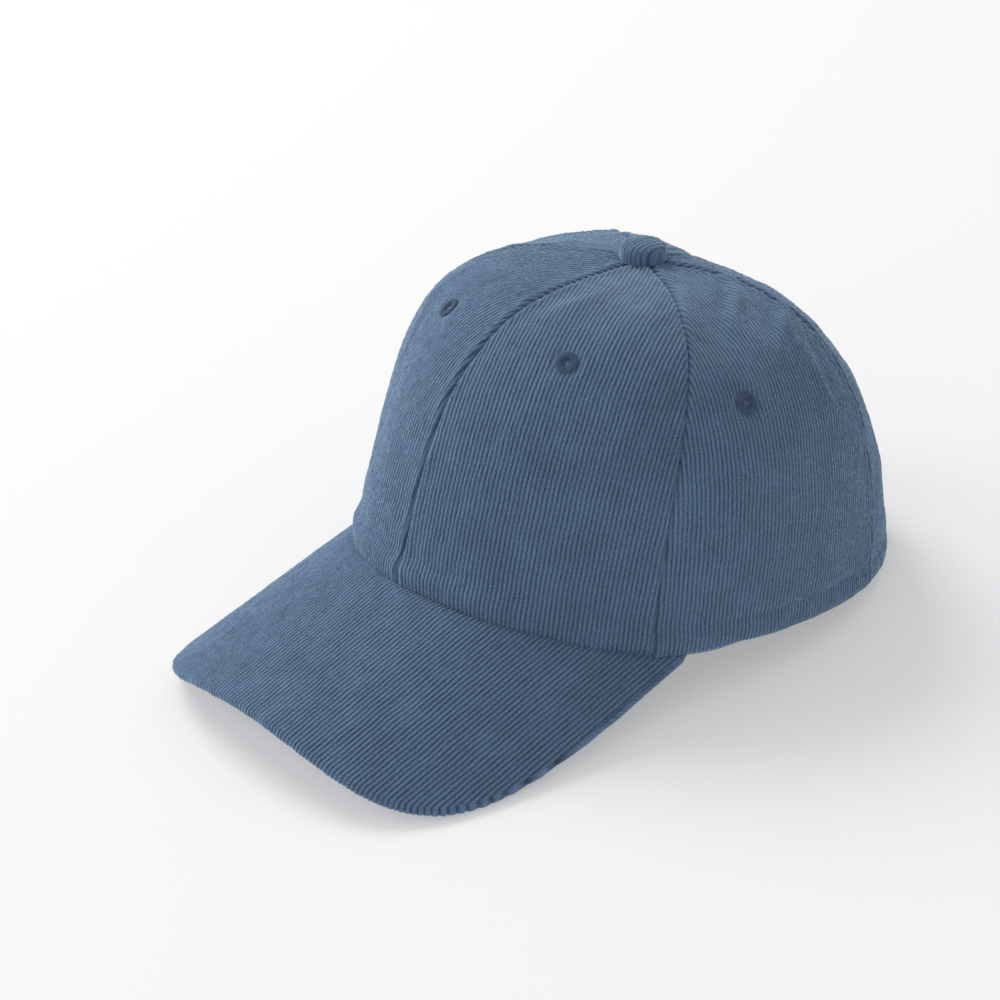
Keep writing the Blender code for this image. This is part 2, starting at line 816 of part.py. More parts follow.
def make_button():
    """Cloth-covered button riveted through the apex: cover, shell, rivet and washer."""
    base = CROWN_HEIGHT + FIT_GAP
    centre = Vector((0.0, APEX_SHIFT, 0.0))
    pivot = Vector((0.0, APEX_SHIFT, base))

    def place(a, b, c):
        return centre + Vector((a, b, base + c))

    lip = BUTTON_LIP
    shell_edge = BUTTON_RADIUS - BUTTON_CLOTH - FIT_GAP
    lip_radius = shell_edge - SHELL_SEAT
    cover = dome(BUTTON_RADIUS, BUTTON_HEIGHT, lip) + [(BUTTON_RADIUS, lip)]
    cover += [(BUTTON_RADIUS - lip / 2.0, 0.0), (lip_radius, 0.0), (lip_radius, lip)]
    cover += [(shell_edge + FIT_GAP, lip)]
    inside = dome(shell_edge + FIT_GAP, BUTTON_HEIGHT - BUTTON_CLOTH, lip + FIT_GAP)
    cover += inside[::-1]
    lathe("button_cover", cover, place, corduroy, pivot, BUTTON_STEPS)
    top = BUTTON_HEIGHT - BUTTON_CLOTH - FIT_GAP
    shell_base = lip + FIT_GAP
    shell = dome(shell_edge, top, shell_base) + [(shell_edge, shell_base)]
    inner_edge = shell_edge - BUTTON_SHELL
    shell += [(inner_edge, shell_base)]
    shell += dome(inner_edge, top - BUTTON_SHELL, shell_base)[::-1]
    lathe("button_shell", shell, place, metal, pivot)
    head_radius = RIVET_RADIUS + RIVET_HEAD
    level = math.sqrt(1.0 - (head_radius / inner_edge) ** 2) ** BUTTON_ROUNDING
    head_top = shell_base + (top - BUTTON_SHELL - shell_base) * level - 2.0 * FIT_GAP
    washer_top = -WASHER_DEPTH
    washer_base = washer_top - WASHER
    tail = washer_base - FIT_GAP
    rivet = [(0.0, head_top), (head_radius, head_top), (head_radius, head_top - WASHER),
             (RIVET_RADIUS, head_top - WASHER), (RIVET_RADIUS, tail), (head_radius, tail),
             (head_radius * RIVET_TAPER, tail - WASHER), (0.0, tail - WASHER)]
    lathe("button_rivet", rivet, place, metal, pivot)
    hole = RIVET_RADIUS + FIT_GAP
    washer = [(hole, washer_top), (WASHER_RADIUS, washer_top),
              (WASHER_RADIUS, washer_base), (hole, washer_base)]
    lathe("button_washer", washer, place, metal, pivot)


def strap_levels(width, steps=3):
    """Heights across a strap of a given width on the closure's middle line."""
    return [STRAP_MID_HEIGHT + width * (n / steps - 0.5) for n in range(steps + 1)]


def tab_radius():
    """Outer radius of the tab's loop round the buckle's bar."""
    return BUCKLE_WIRE / 2.0 + BUCKLE_CLEARANCE + TAB_CLOTH


def barrel_radius():
    """Outer radius of the lever's barrel round the hinge bar."""
    return BUCKLE_WIRE / 2.0 + FIT_GAP + LEVER_SHEET


def smooth_path(knots, steps=4):
    """Smooth curve through hand-placed knots."""
    path = []
    ends = [knots[0]] + knots + [knots[-1]]
    for i in range(1, len(ends) - 2):
        p0, p1, p2, p3 = (Vector(ends[i + k]) for k in (-1, 0, 1, 2))
        for n in range(steps):
            t = n / steps
            point = 0.5 * (2.0 * p1 + (p2 - p0) * t + (2.0 * p0 - 5.0 * p1 + 4.0 * p2 - p3) * t * t
                           + (3.0 * p1 - p0 - 3.0 * p2 + p3) * t ** 3)
            path.append((point.x, point.y))
    path.append(tuple(knots[-1]))
    return path


@functools.cache
def buckle_frame_place():
    """Rigid frame of the buckle: along the hem, up the strap's width and outward."""
    mid = (BUCKLE_TAB_BAR + BUCKLE_HINGE_BAR) / 2.0
    phi, alpha = rear_place(mid, STRAP_MID_HEIGHT)
    around, up = crown_slopes(phi, alpha)
    out = around.cross(up).normalized()
    along = around.normalized()
    high = along.cross(out)
    if high.dot(up) < 0.0:
        high = -high
    centre = crown_point(phi, alpha)

    def place(a, b, c):
        return centre + along * (a - mid) + high * b + out * c
    return place


def closure_at(along, level, outward):
    """Point of the closure: flat beside the buckle, and following the crown away from it."""
    before = (BUCKLE_HINGE_BAR - barrel_radius() - along) / STRAP_EASE
    after = (along - BUCKLE_TAB_BAR - tab_radius()) / TAB_EASE
    share = min(max(before, after, 0.0), 1.0)
    curved = rear_at(along, level, outward)
    flat = buckle_frame_place()(along, level - STRAP_MID_HEIGHT, outward)
    return flat.lerp(curved, share * share * (3.0 - 2.0 * share))


def strap_path():
    """Strap from its sewn end, under the hinge bar, out over the tab's bar and onto the crown."""
    half = STRAP / 2.0
    under = BUCKLE_LAYER - barrel_radius() - BUCKLE_CLEARANCE - half
    over = BUCKLE_LAYER + tab_radius() + BUCKLE_CLEARANCE + half
    run = BUCKLE_TAB_BAR - BUCKLE_HINGE_BAR
    knots = [(-ARCH_HALF_WIDTH - STRAP_SEWN_LENGTH, strap_layer()),
             (-ARCH_HALF_WIDTH, strap_layer()),
             (-ARCH_HALF_WIDTH / 2.0, strap_layer()),
             (0.0, under),
             (BUCKLE_HINGE_BAR + STRAP_LEAVES_HINGE * run, under),
             (BUCKLE_HINGE_BAR + STRAP_CROSSES * run, (under + over) / 2.0 - STRAP_CROSS_DROP),
             (BUCKLE_TAB_BAR, over),
             (BUCKLE_TAB_BAR + STRAP_SETTLES * run, over * STRAP_SETTLE_SHARE),
             (ARCH_HALF_WIDTH, tail_layer()),
             (STRAP_TAIL_END, tail_layer())]
    return smooth_path(knots)


def make_strap():
    """Adjusting strap with a rounded tail."""
    levels = strap_levels(STRAP_WIDTH, 4)
    path = strap_path()

    def place(along, out, level):
        reach = (level - STRAP_MID_HEIGHT) / (STRAP_WIDTH / 2.0)
        curve = 1.0 - math.sqrt(max(0.0, 1.0 - abs(reach) ** STRAP_TAIL_CURVE))
        cut = STRAP_WIDTH * STRAP_TAIL_CUT * curve
        start = BUCKLE_TAB_BAR
        share = max(0.0, along - start) / (STRAP_TAIL_END - start)
        return closure_at(along - cut * share ** 2, level, out)
    return ribbon("closure_strap", path, STRAP, levels, place, corduroy)


def make_tab():
    """Tab sewn behind the right of the opening and looped round the buckle's bar."""
    turn_radius = tab_radius() - TAB_CLOTH / 2.0
    path = [(ARCH_HALF_WIDTH + STRAP_SEWN_LENGTH, tab_layer()), (ARCH_HALF_WIDTH, tab_layer()),
            (ARCH_HALF_WIDTH - TAB_LEAD, tab_layer())]
    for n in range(TAB_LOOP_STEPS + 1):
        turn = math.radians(TAB_LOOP_START - TAB_LOOP_SWEEP * n / TAB_LOOP_STEPS)
        path.append((BUCKLE_TAB_BAR + turn_radius * math.cos(turn),
                     BUCKLE_LAYER + turn_radius * math.sin(turn)))

    def place(along, out, level):
        return closure_at(along, level, out)
    return ribbon("buckle_tab", path, TAB_CLOTH, strap_levels(STRAP_WIDTH), place, corduroy)


def buckle_half_height():
    """From the buckle's middle to the middle of its side wires."""
    return STRAP_WIDTH / 2.0 + BUCKLE_SIDE_GAP + BUCKLE_WIRE / 2.0


def make_buckle_frame():
    """Rectangular wire frame with rounded corners."""
    place = buckle_frame_place()
    half = buckle_half_height()
    corner = BUCKLE_WIRE
    mid = (BUCKLE_TAB_BAR + BUCKLE_HINGE_BAR) / 2.0
    reach = (BUCKLE_TAB_BAR - BUCKLE_HINGE_BAR) / 2.0
    path = []
    for centre_a, centre_b, start in ((reach, half, 0.0), (-reach, half, 90.0),
                                      (-reach, -half, 180.0), (reach, -half, 270.0)):
        middle = (centre_a - math.copysign(corner, centre_a), centre_b - math.copysign(corner, centre_b))
        for n in range(CORNER_STEPS + 1):
            turn = math.radians(start + 90.0 * n / CORNER_STEPS)
            path.append((middle[0] + corner * math.cos(turn), middle[1] + corner * math.sin(turn), turn))
    points = []
    for a, b, turn in path:
        for n in range(WIRE_STEPS):
            spin = 2.0 * math.pi * n / WIRE_STEPS
            side = BUCKLE_WIRE / 2.0 * math.cos(spin)
            points.append(place(mid + a + side * math.cos(turn), b + side * math.sin(turn),
                                BUCKLE_LAYER + BUCKLE_WIRE / 2.0 * math.sin(spin)))
    faces = []
    count = len(path)
    for i in range(count):
        j = (i + 1) % count
        for n in range(WIRE_STEPS):
            m = (n + 1) % WIRE_STEPS
            faces.append([i * WIRE_STEPS + n, j * WIRE_STEPS + n, j * WIRE_STEPS + m, i * WIRE_STEPS + m])
    return add_solid("buckle_frame", points, faces, metal)


def make_lever():
    """Clamping lever: a sheet curled round the hinge bar, with a lifted thumb edge."""
    place = buckle_frame_place()
    curl = barrel_radius() - LEVER_SHEET / 2.0
    tilt = math.radians(LEVER_TILT)
    path = []
    for n in range(LEVER_CURL_STEPS + 1):
        turn = tilt + math.radians(LEVER_CURL_START + LEVER_CURL_SWEEP * (1.0 - n / LEVER_CURL_STEPS))
        path.append((BUCKLE_HINGE_BAR + curl * math.cos(turn), BUCKLE_LAYER + curl * math.sin(turn)))
    u, w = path[-1]
    for share in LEVER_STATIONS:
        path.append((u + LEVER_LENGTH * share * math.cos(tilt), w + LEVER_LENGTH * share * math.sin(tilt)))
    u, w = path[-1]
    lift = tilt + math.radians(LEVER_LIP_LIFT)
    path.append((u + LEVER_LIP * math.cos(lift), w + LEVER_LIP * math.sin(lift)))
    levels = [LEVER_WIDTH * (n / 2.0 - 0.5) for n in range(3)]

    def lever_place(along, out, level):
        return place(along, level, out)
    pivot = place(BUCKLE_HINGE_BAR, 0.0, BUCKLE_LAYER)
    return ribbon("buckle_lever", path, LEVER_SHEET, levels, lever_place, metal, pivot)


def make_keeper():
    """Loop sewn to the right back panel that holds the strap's tail down."""
    tail_top = tail_layer() + STRAP / 2.0 + KEEPER_GAP
    half = STRAP_WIDTH / 2.0 + KEEPER_GAP
    low = STRAP_MID_HEIGHT - half
    high = STRAP_MID_HEIGHT + half
    outline = [(low - KEEPER_CLOTH, FIT_GAP), (low - KEEPER_CLOTH, tail_top + KEEPER_CLOTH)]
    outline += [(STRAP_MID_HEIGHT, tail_top + KEEPER_CLOTH)]
    outline += [(high + KEEPER_CLOTH, tail_top + KEEPER_CLOTH), (high + KEEPER_CLOTH, FIT_GAP)]
    outline += [(high, FIT_GAP), (high, tail_top), (STRAP_MID_HEIGHT, tail_top), (low, tail_top)]
    outline += [(low, FIT_GAP)]
    levels = [KEEPER_PLACE + KEEPER_WIDTH * (n / 2.0 - 0.5) for n in range(3)]

    def place(height, out, along):
        return rear_at(along, height, out)
    return prism("strap_keeper", outline, levels, place, corduroy)


def make_label():
    """Blank care label hinged by its stitching at the top of the sweatband."""
    phi = math.radians(LABEL_ANGLE)
    height_scale = rear_rise()
    depth = -sweatband_depth() - SWEATBAND - LABEL_GAP
    top = crown_at(phi, LABEL_TOP / height_scale, depth)
    foot = crown_at(phi, (LABEL_TOP - LABEL_DROP) / height_scale, depth)
    around, _ = crown_slopes(phi, LABEL_TOP / height_scale)
    across = Vector((around.x, around.y, 0.0)).normalized()
    down = (foot - top)
    down = (down - across * down.dot(across)).normalized()
    inward = across.cross(down)
    if inward.dot(top - Vector((0.0, 0.0, top.z))) > 0.0:
        inward = -inward
    bow = (1.0 - math.cos(LABEL_WIDTH / 2.0 / HEM_HALF_WIDTH)) * HEM_HALF_WIDTH
    start = top + inward * bow

    def grid(lift):
        return [[start + across * (LABEL_WIDTH * (c / 2.0 - 0.5)) + down * (LABEL_DROP * r / 2.0)
                 + inward * lift for c in range(3)] for r in range(3)]
    return slab("care_label", grid(0.0), grid(LABEL_SHEET), label_satin, start)


def stand_on_table(solids):
    """Move the cap so that its origin is under its middle and its hem settles on z = 0."""
    corners = [o.matrix_world @ v.co for o in solids for v in o.data.vertices]
    middle = (min(p.y for p in corners) + max(p.y for p in corners)) / 2.0
    floor = min(p.z for p in corners) + HEM_SETTLE
    for solid in bpy.context.scene.objects:
        solid.location.y -= middle
        solid.location.z -= floor
    bpy.context.view_layer.update()
    for solid in solids:
        lift = solid.location.z
        for vertex in solid.data.vertices:
            vertex.co.z = max(vertex.co.z, -lift)


def build():
    """Clear the scene and model every piece."""
    for old in list(bpy.data.objects):
        bpy.data.objects.remove(old)
    panels = make_panels()
    buckrams = make_buckram()
    cutters = make_eyelets(panels, buckrams)
    make_tapes()
    make_sweatband()
    make_arch_binding()
    make_visor()
    make_button()
    make_strap()
    make_tab()
    make_buckle_frame()
    make_lever()
    make_keeper()
    make_label()
    bpy.context.view_layer.update()
    hidden = [c.name for c in cutters.values()]
    solids = [o for o in bpy.context.scene.objects if o.name not in hidden]
    stand_on_table(solids)


build()
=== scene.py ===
import math

import bmesh
import bpy
import numpy as np
from mathutils import Matrix, Vector

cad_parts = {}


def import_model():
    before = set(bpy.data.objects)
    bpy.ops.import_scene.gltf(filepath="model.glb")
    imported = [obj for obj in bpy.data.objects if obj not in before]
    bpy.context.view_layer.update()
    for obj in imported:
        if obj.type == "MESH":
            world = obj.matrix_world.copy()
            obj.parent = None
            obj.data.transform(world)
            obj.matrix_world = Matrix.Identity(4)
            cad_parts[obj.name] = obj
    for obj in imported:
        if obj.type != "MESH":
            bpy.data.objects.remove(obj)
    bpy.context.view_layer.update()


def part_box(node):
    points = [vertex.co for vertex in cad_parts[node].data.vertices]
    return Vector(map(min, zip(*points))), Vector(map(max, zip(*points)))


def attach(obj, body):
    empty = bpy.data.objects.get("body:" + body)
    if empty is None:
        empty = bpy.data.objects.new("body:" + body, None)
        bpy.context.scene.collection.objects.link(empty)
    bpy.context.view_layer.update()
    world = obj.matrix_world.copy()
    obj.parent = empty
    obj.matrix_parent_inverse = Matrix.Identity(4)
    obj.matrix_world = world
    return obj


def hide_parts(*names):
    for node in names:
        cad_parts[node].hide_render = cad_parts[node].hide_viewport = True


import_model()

# ---- the cap's own measures, in metres
HEM_HALF_WIDTH = 0.0839
HEM_FRONT = 0.1009
HEM_REAR = 0.1073
CROWN_HEIGHT = 0.1243
APEX_SHIFT = 0.0070
APEX_HOLE_RADIUS = 0.005
REAR_HEM_HEIGHT = 0.0069
FULLNESS = (3.83, 2.90, 2.04)
TAPER = (0.215, -0.103, 0.225)
QUARTER_FULLNESS = 1.15
QUARTER_TAPER = 0.135
HEM_BOW = 0.0008
SIDE_SEAM_HEM = 60.1
SIDE_SEAM_TOP = 75.2
REAR_SEAM = 118.6
SEAM_SWING = 1.5
CLOTH = 0.0013
LAYER_GAP = 0.0005
BUCKRAM = 0.0008
TAPE = 0.0006
TAPE_WIDTH = 0.012
TAPE_END_RADIUS = 0.014
SWEATBAND = 0.0012
SWEATBAND_DEPTH = 0.0050
SWEATBAND_WIDTH = 0.032
SWEATBAND_LIFT = 0.002
VISOR_LENGTH = 0.0696
VISOR_ROOT_HEIGHT = 0.0343
VISOR_FLARE = 0.004
VISOR_SLOPE = math.radians(22.0)
VISOR_BEND_RADIUS = 0.106
VISOR_BEND_OPENING = 0.184
VISOR_END_ANGLE = math.radians(72.7)
VISOR_ROOT_HALF_ARC = VISOR_BEND_RADIUS * math.asin(
    HEM_HALF_WIDTH * math.sin(VISOR_END_ANGLE) / VISOR_BEND_RADIUS)
VISOR_BEND_BACK = -0.0375
VISOR_CORNER = 4.2
VISOR_FRONT_CORNER = 4.29
VISOR_END_TRIM = math.radians(86.0)
VISOR_DEPTH = 0.0040
EYELET_PLACES = {"front": (33.0, 46.0), "side": (82.0, 43.5), "back": (148.0, 50.0)}
EYELET_RADIUS = 0.0041
ARCH_HALF_WIDTH = 0.038
ARCH_HEIGHT = 0.045
REST_TILT = math.radians(5.16)
WASHER_MIDDLE = CROWN_HEIGHT + 0.0003 - 0.0038
FIT_GAP = 0.0003
SEAM_GAP = 0.0004
BUTTON_RADIUS = 0.0083
BUTTON_HEIGHT = 0.0074
RIVET_RADIUS = 0.0020
WASHER_RADIUS = 0.0072
WASHER = 0.0008
WASHER_DEPTH = 0.0034
BINDING = 0.0008
BINDING_WIDTH = 0.008
STRAP_WIDTH = 0.018
STRAP = 0.0016
STRAP_MID_HEIGHT = 0.0160
STRAP_SEWN_LENGTH = 0.014
STRAP_TAIL_END = 0.054
CLOSURE_DEPTH = CLOTH + LAYER_GAP + BINDING + 0.0003
TAIL_LAYER = 0.0005 + STRAP / 2.0
TAB_BAR = 0.024
HINGE_BAR = 0.009
BUCKLE_LAYER = -0.0004
BUCKLE_WIRE = 0.0020
BUCKLE_SIDE_GAP = 0.0010
BUCKLE_CLEARANCE = 0.0005
TAB_CLOTH = 0.0013
TAB_LEAD = 0.007
TAB_EASE = 0.0045
STRAP_EASE = 0.012
LEVER_SHEET = 0.0008
LEVER_LENGTH = 0.0150
LEVER_WIDTH = 0.0160
LEVER_TILT = math.radians(16.0)
LEVER_LIP = 0.0020
KEEPER_PLACE = 0.046
KEEPER_WIDTH = 0.007
KEEPER_CLOTH = 0.0010
KEEPER_GAP = 0.0005
LABEL_ANGLE = math.radians(-136.0)
LABEL_TOP = 0.031
LABEL_WIDTH = 0.022
LABEL_DROP = 0.024
LABEL_SHEET = 0.0005
LABEL_GAP = 0.0014

# ---- the cloth and the fineness of its meshes
WALE = 0.00157
WALE_STEPS = 6
WALE_HEIGHT = 0.00042
TUFT_SPREAD = 0.19
SLOPE_STEP = 0.0005
SOLVE_STEPS = 12
SIDES = (("left", 1.0), ("right", -1.0))
CROWN_MIDDLE = np.array([0.0, APEX_SHIFT, 0.03])


# ---- surfaces, in the pattern frame
def shares_of(phi):
    """Shares of the front, side and rear shape at an angle round the hem."""
    front = np.maximum(np.cos(phi), 0.0) ** 2
    rear = np.maximum(-np.cos(phi), 0.0) ** 2
    return front, 1.0 - front - rear, rear


def mixed(values, quarter, phi):
    front = np.maximum(np.cos(phi), 0.0)
    return sum(v * s for v, s in zip(values, shares_of(phi))) + quarter * (2.0 * np.sin(phi) * front) ** 2


def visor_bend(v):
    return VISOR_BEND_RADIUS + VISOR_BEND_OPENING * np.maximum(v, VISOR_BEND_BACK)


def visor_run(x, y):
    v = np.zeros(np.broadcast(x, y).shape)
    for _ in range(SOLVE_STEPS):
        bend = visor_bend(v)
        drop = bend - np.sqrt(np.maximum(bend * bend - x * x, 0.0))
        v = (drop * math.sin(VISOR_SLOPE) - (y + HEM_FRONT)) / math.cos(VISOR_SLOPE)
    return v, drop


def visor_height(x, y):
    v, drop = visor_run(x, y)
    return VISOR_ROOT_HEIGHT - v * math.sin(VISOR_SLOPE) - drop * math.cos(VISOR_SLOPE)


def hem_plan(phi):
    reach = np.where(np.cos(phi) > 0.0, HEM_FRONT, HEM_REAR)
    return HEM_HALF_WIDTH * np.sin(phi), -reach * np.cos(phi)


def visor_surface(u, v):
    bend = visor_bend(v)
    drop = bend * (1.0 - np.cos(u / bend))
    x = bend * np.sin(u / bend)
    return np.stack([x, -HEM_FRONT - v * math.cos(VISOR_SLOPE) + drop * math.sin(VISOR_SLOPE),
                     VISOR_ROOT_HEIGHT - v * math.sin(VISOR_SLOPE) - drop * math.cos(VISOR_SLOPE)], -1)


def visor_root(u):
    """Distance forward of the visor's root edge at an arc distance from the centre line."""
    v = np.zeros(np.shape(u))
    for _ in range(SOLVE_STEPS):
        bend = visor_bend(v)
        x = bend * np.sin(u / bend)
        clear = HEM_HALF_WIDTH + 0.0005
        y = -(HEM_FRONT + 0.0005) * np.sqrt(np.maximum(0.0, 1.0 - (x / clear) ** 2))
        v, _ = visor_run(x, y)
    return v


VISOR_END = float(visor_root(np.array(VISOR_ROOT_HALF_ARC)))
VISOR_REACH = VISOR_ROOT_HALF_ARC * (1.0 + VISOR_FLARE)


def visor_outline(turn):
    share = np.abs(np.sin(turn))
    ahead = (1.0 - share ** VISOR_CORNER) ** (1.0 / VISOR_FRONT_CORNER)
    length = VISOR_LENGTH - VISOR_END
    return VISOR_REACH * np.sin(turn), VISOR_END + length * ahead


def settled(p):
    """Pattern points tipped back to the resting attitude."""
    c, s = math.cos(REST_TILT), math.sin(REST_TILT)
    x, y, z = p[..., 0], p[..., 1], p[..., 2]
    return np.stack([x, y * c + z * s, z * c - y * s], -1)


def visor_normal(u, v):
    across = visor_surface(u + SLOPE_STEP, v) - visor_surface(u - SLOPE_STEP, v)
    ahead = visor_surface(u, v + SLOPE_STEP) - visor_surface(u, v - SLOPE_STEP)
    return unit(np.cross(ahead, across))


def unit(p):
    return p / np.linalg.norm(p, axis=-1, keepdims=True)


def table_level():
    turn = np.linspace(-VISOR_END_TRIM, VISOR_END_TRIM, 23)
    u, v = visor_outline(turn)
    return settled(visor_surface(u, v) - visor_normal(u, v) * VISOR_DEPTH)[..., 2].min()


TABLE = table_level()
END_X = HEM_HALF_WIDTH * math.sin(VISOR_END_ANGLE)
END_Y = -HEM_FRONT * math.cos(VISOR_END_ANGLE)
END_Z = float(visor_height(np.array(END_X), np.array(END_Y)))


def hem_height(phi):
    x, y = hem_plan(phi)
    share = np.clip((y - END_Y) / (HEM_REAR - END_Y), 0.0, 1.0)
    line = END_Z + (REAR_HEM_HEIGHT - END_Z) * share + HEM_BOW * np.sin(math.pi * share) ** 2
    table = (TABLE + y * math.sin(REST_TILT)) / math.cos(REST_TILT)
    return np.where(y <= END_Y, visor_height(x, y), np.maximum(line, table))


def crown_point(phi, alpha):
    """Point of the crown's face: phi round the hem, alpha from hem (0) to apex (pi/2)."""
    fullness, taper = mixed(FULLNESS, QUARTER_FULLNESS, phi), mixed(TAPER, QUARTER_TAPER, phi)
    alpha = np.maximum(alpha, 0.0)
    rounding = (np.cos(alpha) ** fullness + np.sin(alpha) ** fullness) ** (-1.0 / fullness)
    rise = np.sin(alpha) * rounding
    spread = np.cos(alpha) * rounding * (1.0 - taper * rise)
    x, y = hem_plan(phi)
    z = hem_height(phi)
    return np.stack([x * spread, APEX_SHIFT + (y - APEX_SHIFT) * spread, z + (CROWN_HEIGHT - z) * rise], -1)


def crown_slopes(phi, alpha):
    low = np.maximum(alpha - SLOPE_STEP, 0.0)
    both = 2.0 * SLOPE_STEP
    around = (crown_point(phi + SLOPE_STEP, alpha) - crown_point(phi - SLOPE_STEP, alpha)) / both
    up = (crown_point(phi, low + both) - crown_point(phi, low)) / both
    return around, up


def crown_at(phi, alpha, outward=0.0):
    around, up = crown_slopes(phi, alpha)
    return crown_point(phi, alpha) + unit(np.cross(around, up)) * np.asarray(outward)[..., None]


def crown_frame(phi, alpha, sign=1.0):
    """Function of (along, up, out) in a flat frame that stands on the crown."""
    around, up = crown_slopes(phi, alpha)
    out, along = unit(np.cross(around, up)), unit(around)
    centre, high = crown_point(phi, alpha), np.cross(out, along)

    def place(a, b, c):
        a, b, c = np.broadcast_arrays(a, b, c)
        point = centre + along * a[..., None] + high * b[..., None] + out * c[..., None]
        return point * np.array([sign, 1.0, 1.0])
    return place


def apex_angle(phi, radius):
    x, y = hem_plan(phi)
    return np.arctan(np.hypot(x, y - APEX_SHIFT) * (1.0 - mixed(TAPER, QUARTER_TAPER, phi)) / radius)


def side_seam(share):
    climb = share * apex_angle(np.radians(SIDE_SEAM_TOP), APEX_HOLE_RADIUS)
    turned = np.arctan(np.tan(climb) ** SEAM_SWING) / (math.pi / 2.0)
    return np.radians(SIDE_SEAM_HEM + (SIDE_SEAM_TOP - SIDE_SEAM_HEM) * turned)


def plain_seam(angle):
    """Seam that keeps one angle round the hem."""
    return lambda share: angle + 0.0 * share


centre_seam, rear_seam, back_seam = (plain_seam(a) for a in (0.0, np.radians(REAR_SEAM), math.pi))


REAR_RISE = CROWN_HEIGHT - float(hem_height(np.array(math.pi)))


def rear_at(along, height, outward):
    """Point near the rear: along the hem from its centre, up from it and out from the crown."""
    return crown_at(math.pi + along / HEM_HALF_WIDTH, height / REAR_RISE, outward)


def arch_angle(phi):
    along = (math.pi - np.abs(phi)) * HEM_HALF_WIDTH / ARCH_HALF_WIDTH
    return ARCH_HEIGHT / REAR_RISE * np.sqrt(np.maximum(0.0, 1.0 - along * along))


def washer_place():
    low, high = (np.array(c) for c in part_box("button_washer"))
    return (low + high) / 2.0 - settled(np.array([0.0, APEX_SHIFT, WASHER_MIDDLE]))


PLACE = washer_place()


def world(p):
    """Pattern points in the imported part's frame, none of them below the table."""
    q = settled(np.asarray(p, float)) + PLACE
    q[..., 2] = np.maximum(q[..., 2], 0.0)
    return q


# ---- meshes
def link(name, mesh, body, material, replaces=()):
    piece = bpy.data.objects.new(name, mesh)
    bpy.context.scene.collection.objects.link(piece)
    mesh.materials.append(material)
    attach(piece, body)
    if replaces:
        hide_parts(*replaces)
    return piece


def zipped(first, second):
    """Triangles between two rows of (share, index) that run the same way."""
    faces = []
    i = j = 0
    while i < len(first) - 1 or j < len(second) - 1:
        if j == len(second) - 1 or (i < len(first) - 1 and first[i + 1][0] <= second[j + 1][0]):
            faces.append((first[i][1], first[i + 1][1], second[j][1]))
            i += 1
        else:
            faces.append((first[i][1], second[j + 1][1], second[j][1]))
            j += 1
    return faces


def grid_faces(rows, columns, start=0):
    r, c = np.meshgrid(np.arange(rows - 1), np.arange(columns - 1), indexing="ij")
    a = start + r * columns + c
    return np.stack([a, a + 1, a + 1 + columns, a + columns], -1).reshape(-1, 4)


def tube_faces(rows, columns, closed=False):
    """Quads of a grid whose columns close up, and whose rows do too if it is closed."""
    r, c = np.meshgrid(np.arange(rows if closed else rows - 1), np.arange(columns), indexing="ij")
    e, d = (r + 1) % rows, (c + 1) % columns
    return np.stack([r * columns + c, r * columns + d, e * columns + d, e * columns + c], -1).reshape(-1, 4)


def full_turn(steps):
    return 2.0 * math.pi * np.arange(steps) / steps


def distance_along(line):
    return np.concatenate([[0.0], np.cumsum(np.linalg.norm(np.diff(line, axis=0), axis=1))])


def mesh_of(name, points, faces, **attributes):
    """Closed mesh from pattern points, without the points no face uses."""
    faces = [tuple(dict.fromkeys(int(i) for i in f)) for f in faces]
    faces = [f for f in faces if len(f) > 2]
    used = np.unique(np.concatenate([np.array(f) for f in faces]))
    place = np.full(len(points), -1)
    place[used] = np.arange(len(used))
    mesh = bpy.data.meshes.new(name)
    mesh.from_pydata(world(points[used]).tolist(), [], [tuple(int(place[i]) for i in f) for f in faces])
    for key, values in attributes.items():
        values = np.asarray(np.asarray(values)[used], np.float32)
        kind, field = ("FLOAT", "value") if values.ndim == 1 else ("FLOAT_VECTOR", "vector")
        mesh.attributes.new(key, kind, "POINT").data.foreach_set(field, values.ravel())
    work = bmesh.new()
    work.from_mesh(mesh)
    bmesh.ops.recalc_face_normals(work, faces=work.faces)
    work.to_mesh(mesh)
    work.free()
    mesh.shade_smooth()
    return mesh


def shell(name, face, limits, back, back_shares, **attributes):
    """Closed sheet: a fine face whose rows keep only the columns within limits, and a plain back.

    face is (rows, columns, 3) and limits the first and last column of each row. back is
    (rows, columns, 3), and back_shares are its shares across and up, to match the face's.
    """
    rows, columns = face.shape[:2]
    first, last, across = limits
    c = np.arange(columns)
    kept = np.clip(c[None, :], first[:, None], last[:, None]) + np.arange(rows)[:, None] * columns
    quads = np.stack([kept[:-1, :-1], kept[:-1, 1:], kept[1:, 1:], kept[1:, :-1]], -1).reshape(-1, 4)
    start = rows * columns
    back_rows, back_columns = back.shape[:2]
    faces = quads.tolist() + grid_faces(back_rows, back_columns, start)[:, ::-1].tolist()
    share_across, share_up = back_shares

    def face_row(r):
        return [(across[r, i], r * columns + i) for i in range(first[r], last[r] + 1)]

    def back_row(r):
        return [(share_across[i], start + r * back_columns + i) for i in range(back_columns)]

    up = np.linspace(0.0, 1.0, rows)
    faces += zipped(face_row(0), back_row(0))
    faces += zipped(face_row(rows - 1), back_row(back_rows - 1))
    for side, column in ((first, 0), (last, back_columns - 1)):
        edge = [(up[r], r * columns + side[r]) for r in range(rows)]
        back_edge = [(share_up[r], start + r * back_columns + column) for r in range(back_rows)]
        faces += zipped(edge, back_edge)
    points = np.concatenate([face.reshape(-1, 3), back.reshape(-1, 3)])
    values = {}
    for key, (front_value, back_value) in attributes.items():
        front_value = np.asarray(front_value).reshape(rows * columns, -1)
        filler = np.full((back_rows * back_columns, front_value.shape[1]), float(back_value))
        values[key] = np.concatenate([front_value, filler]).squeeze()
    return mesh_of(name, points, faces, **values)


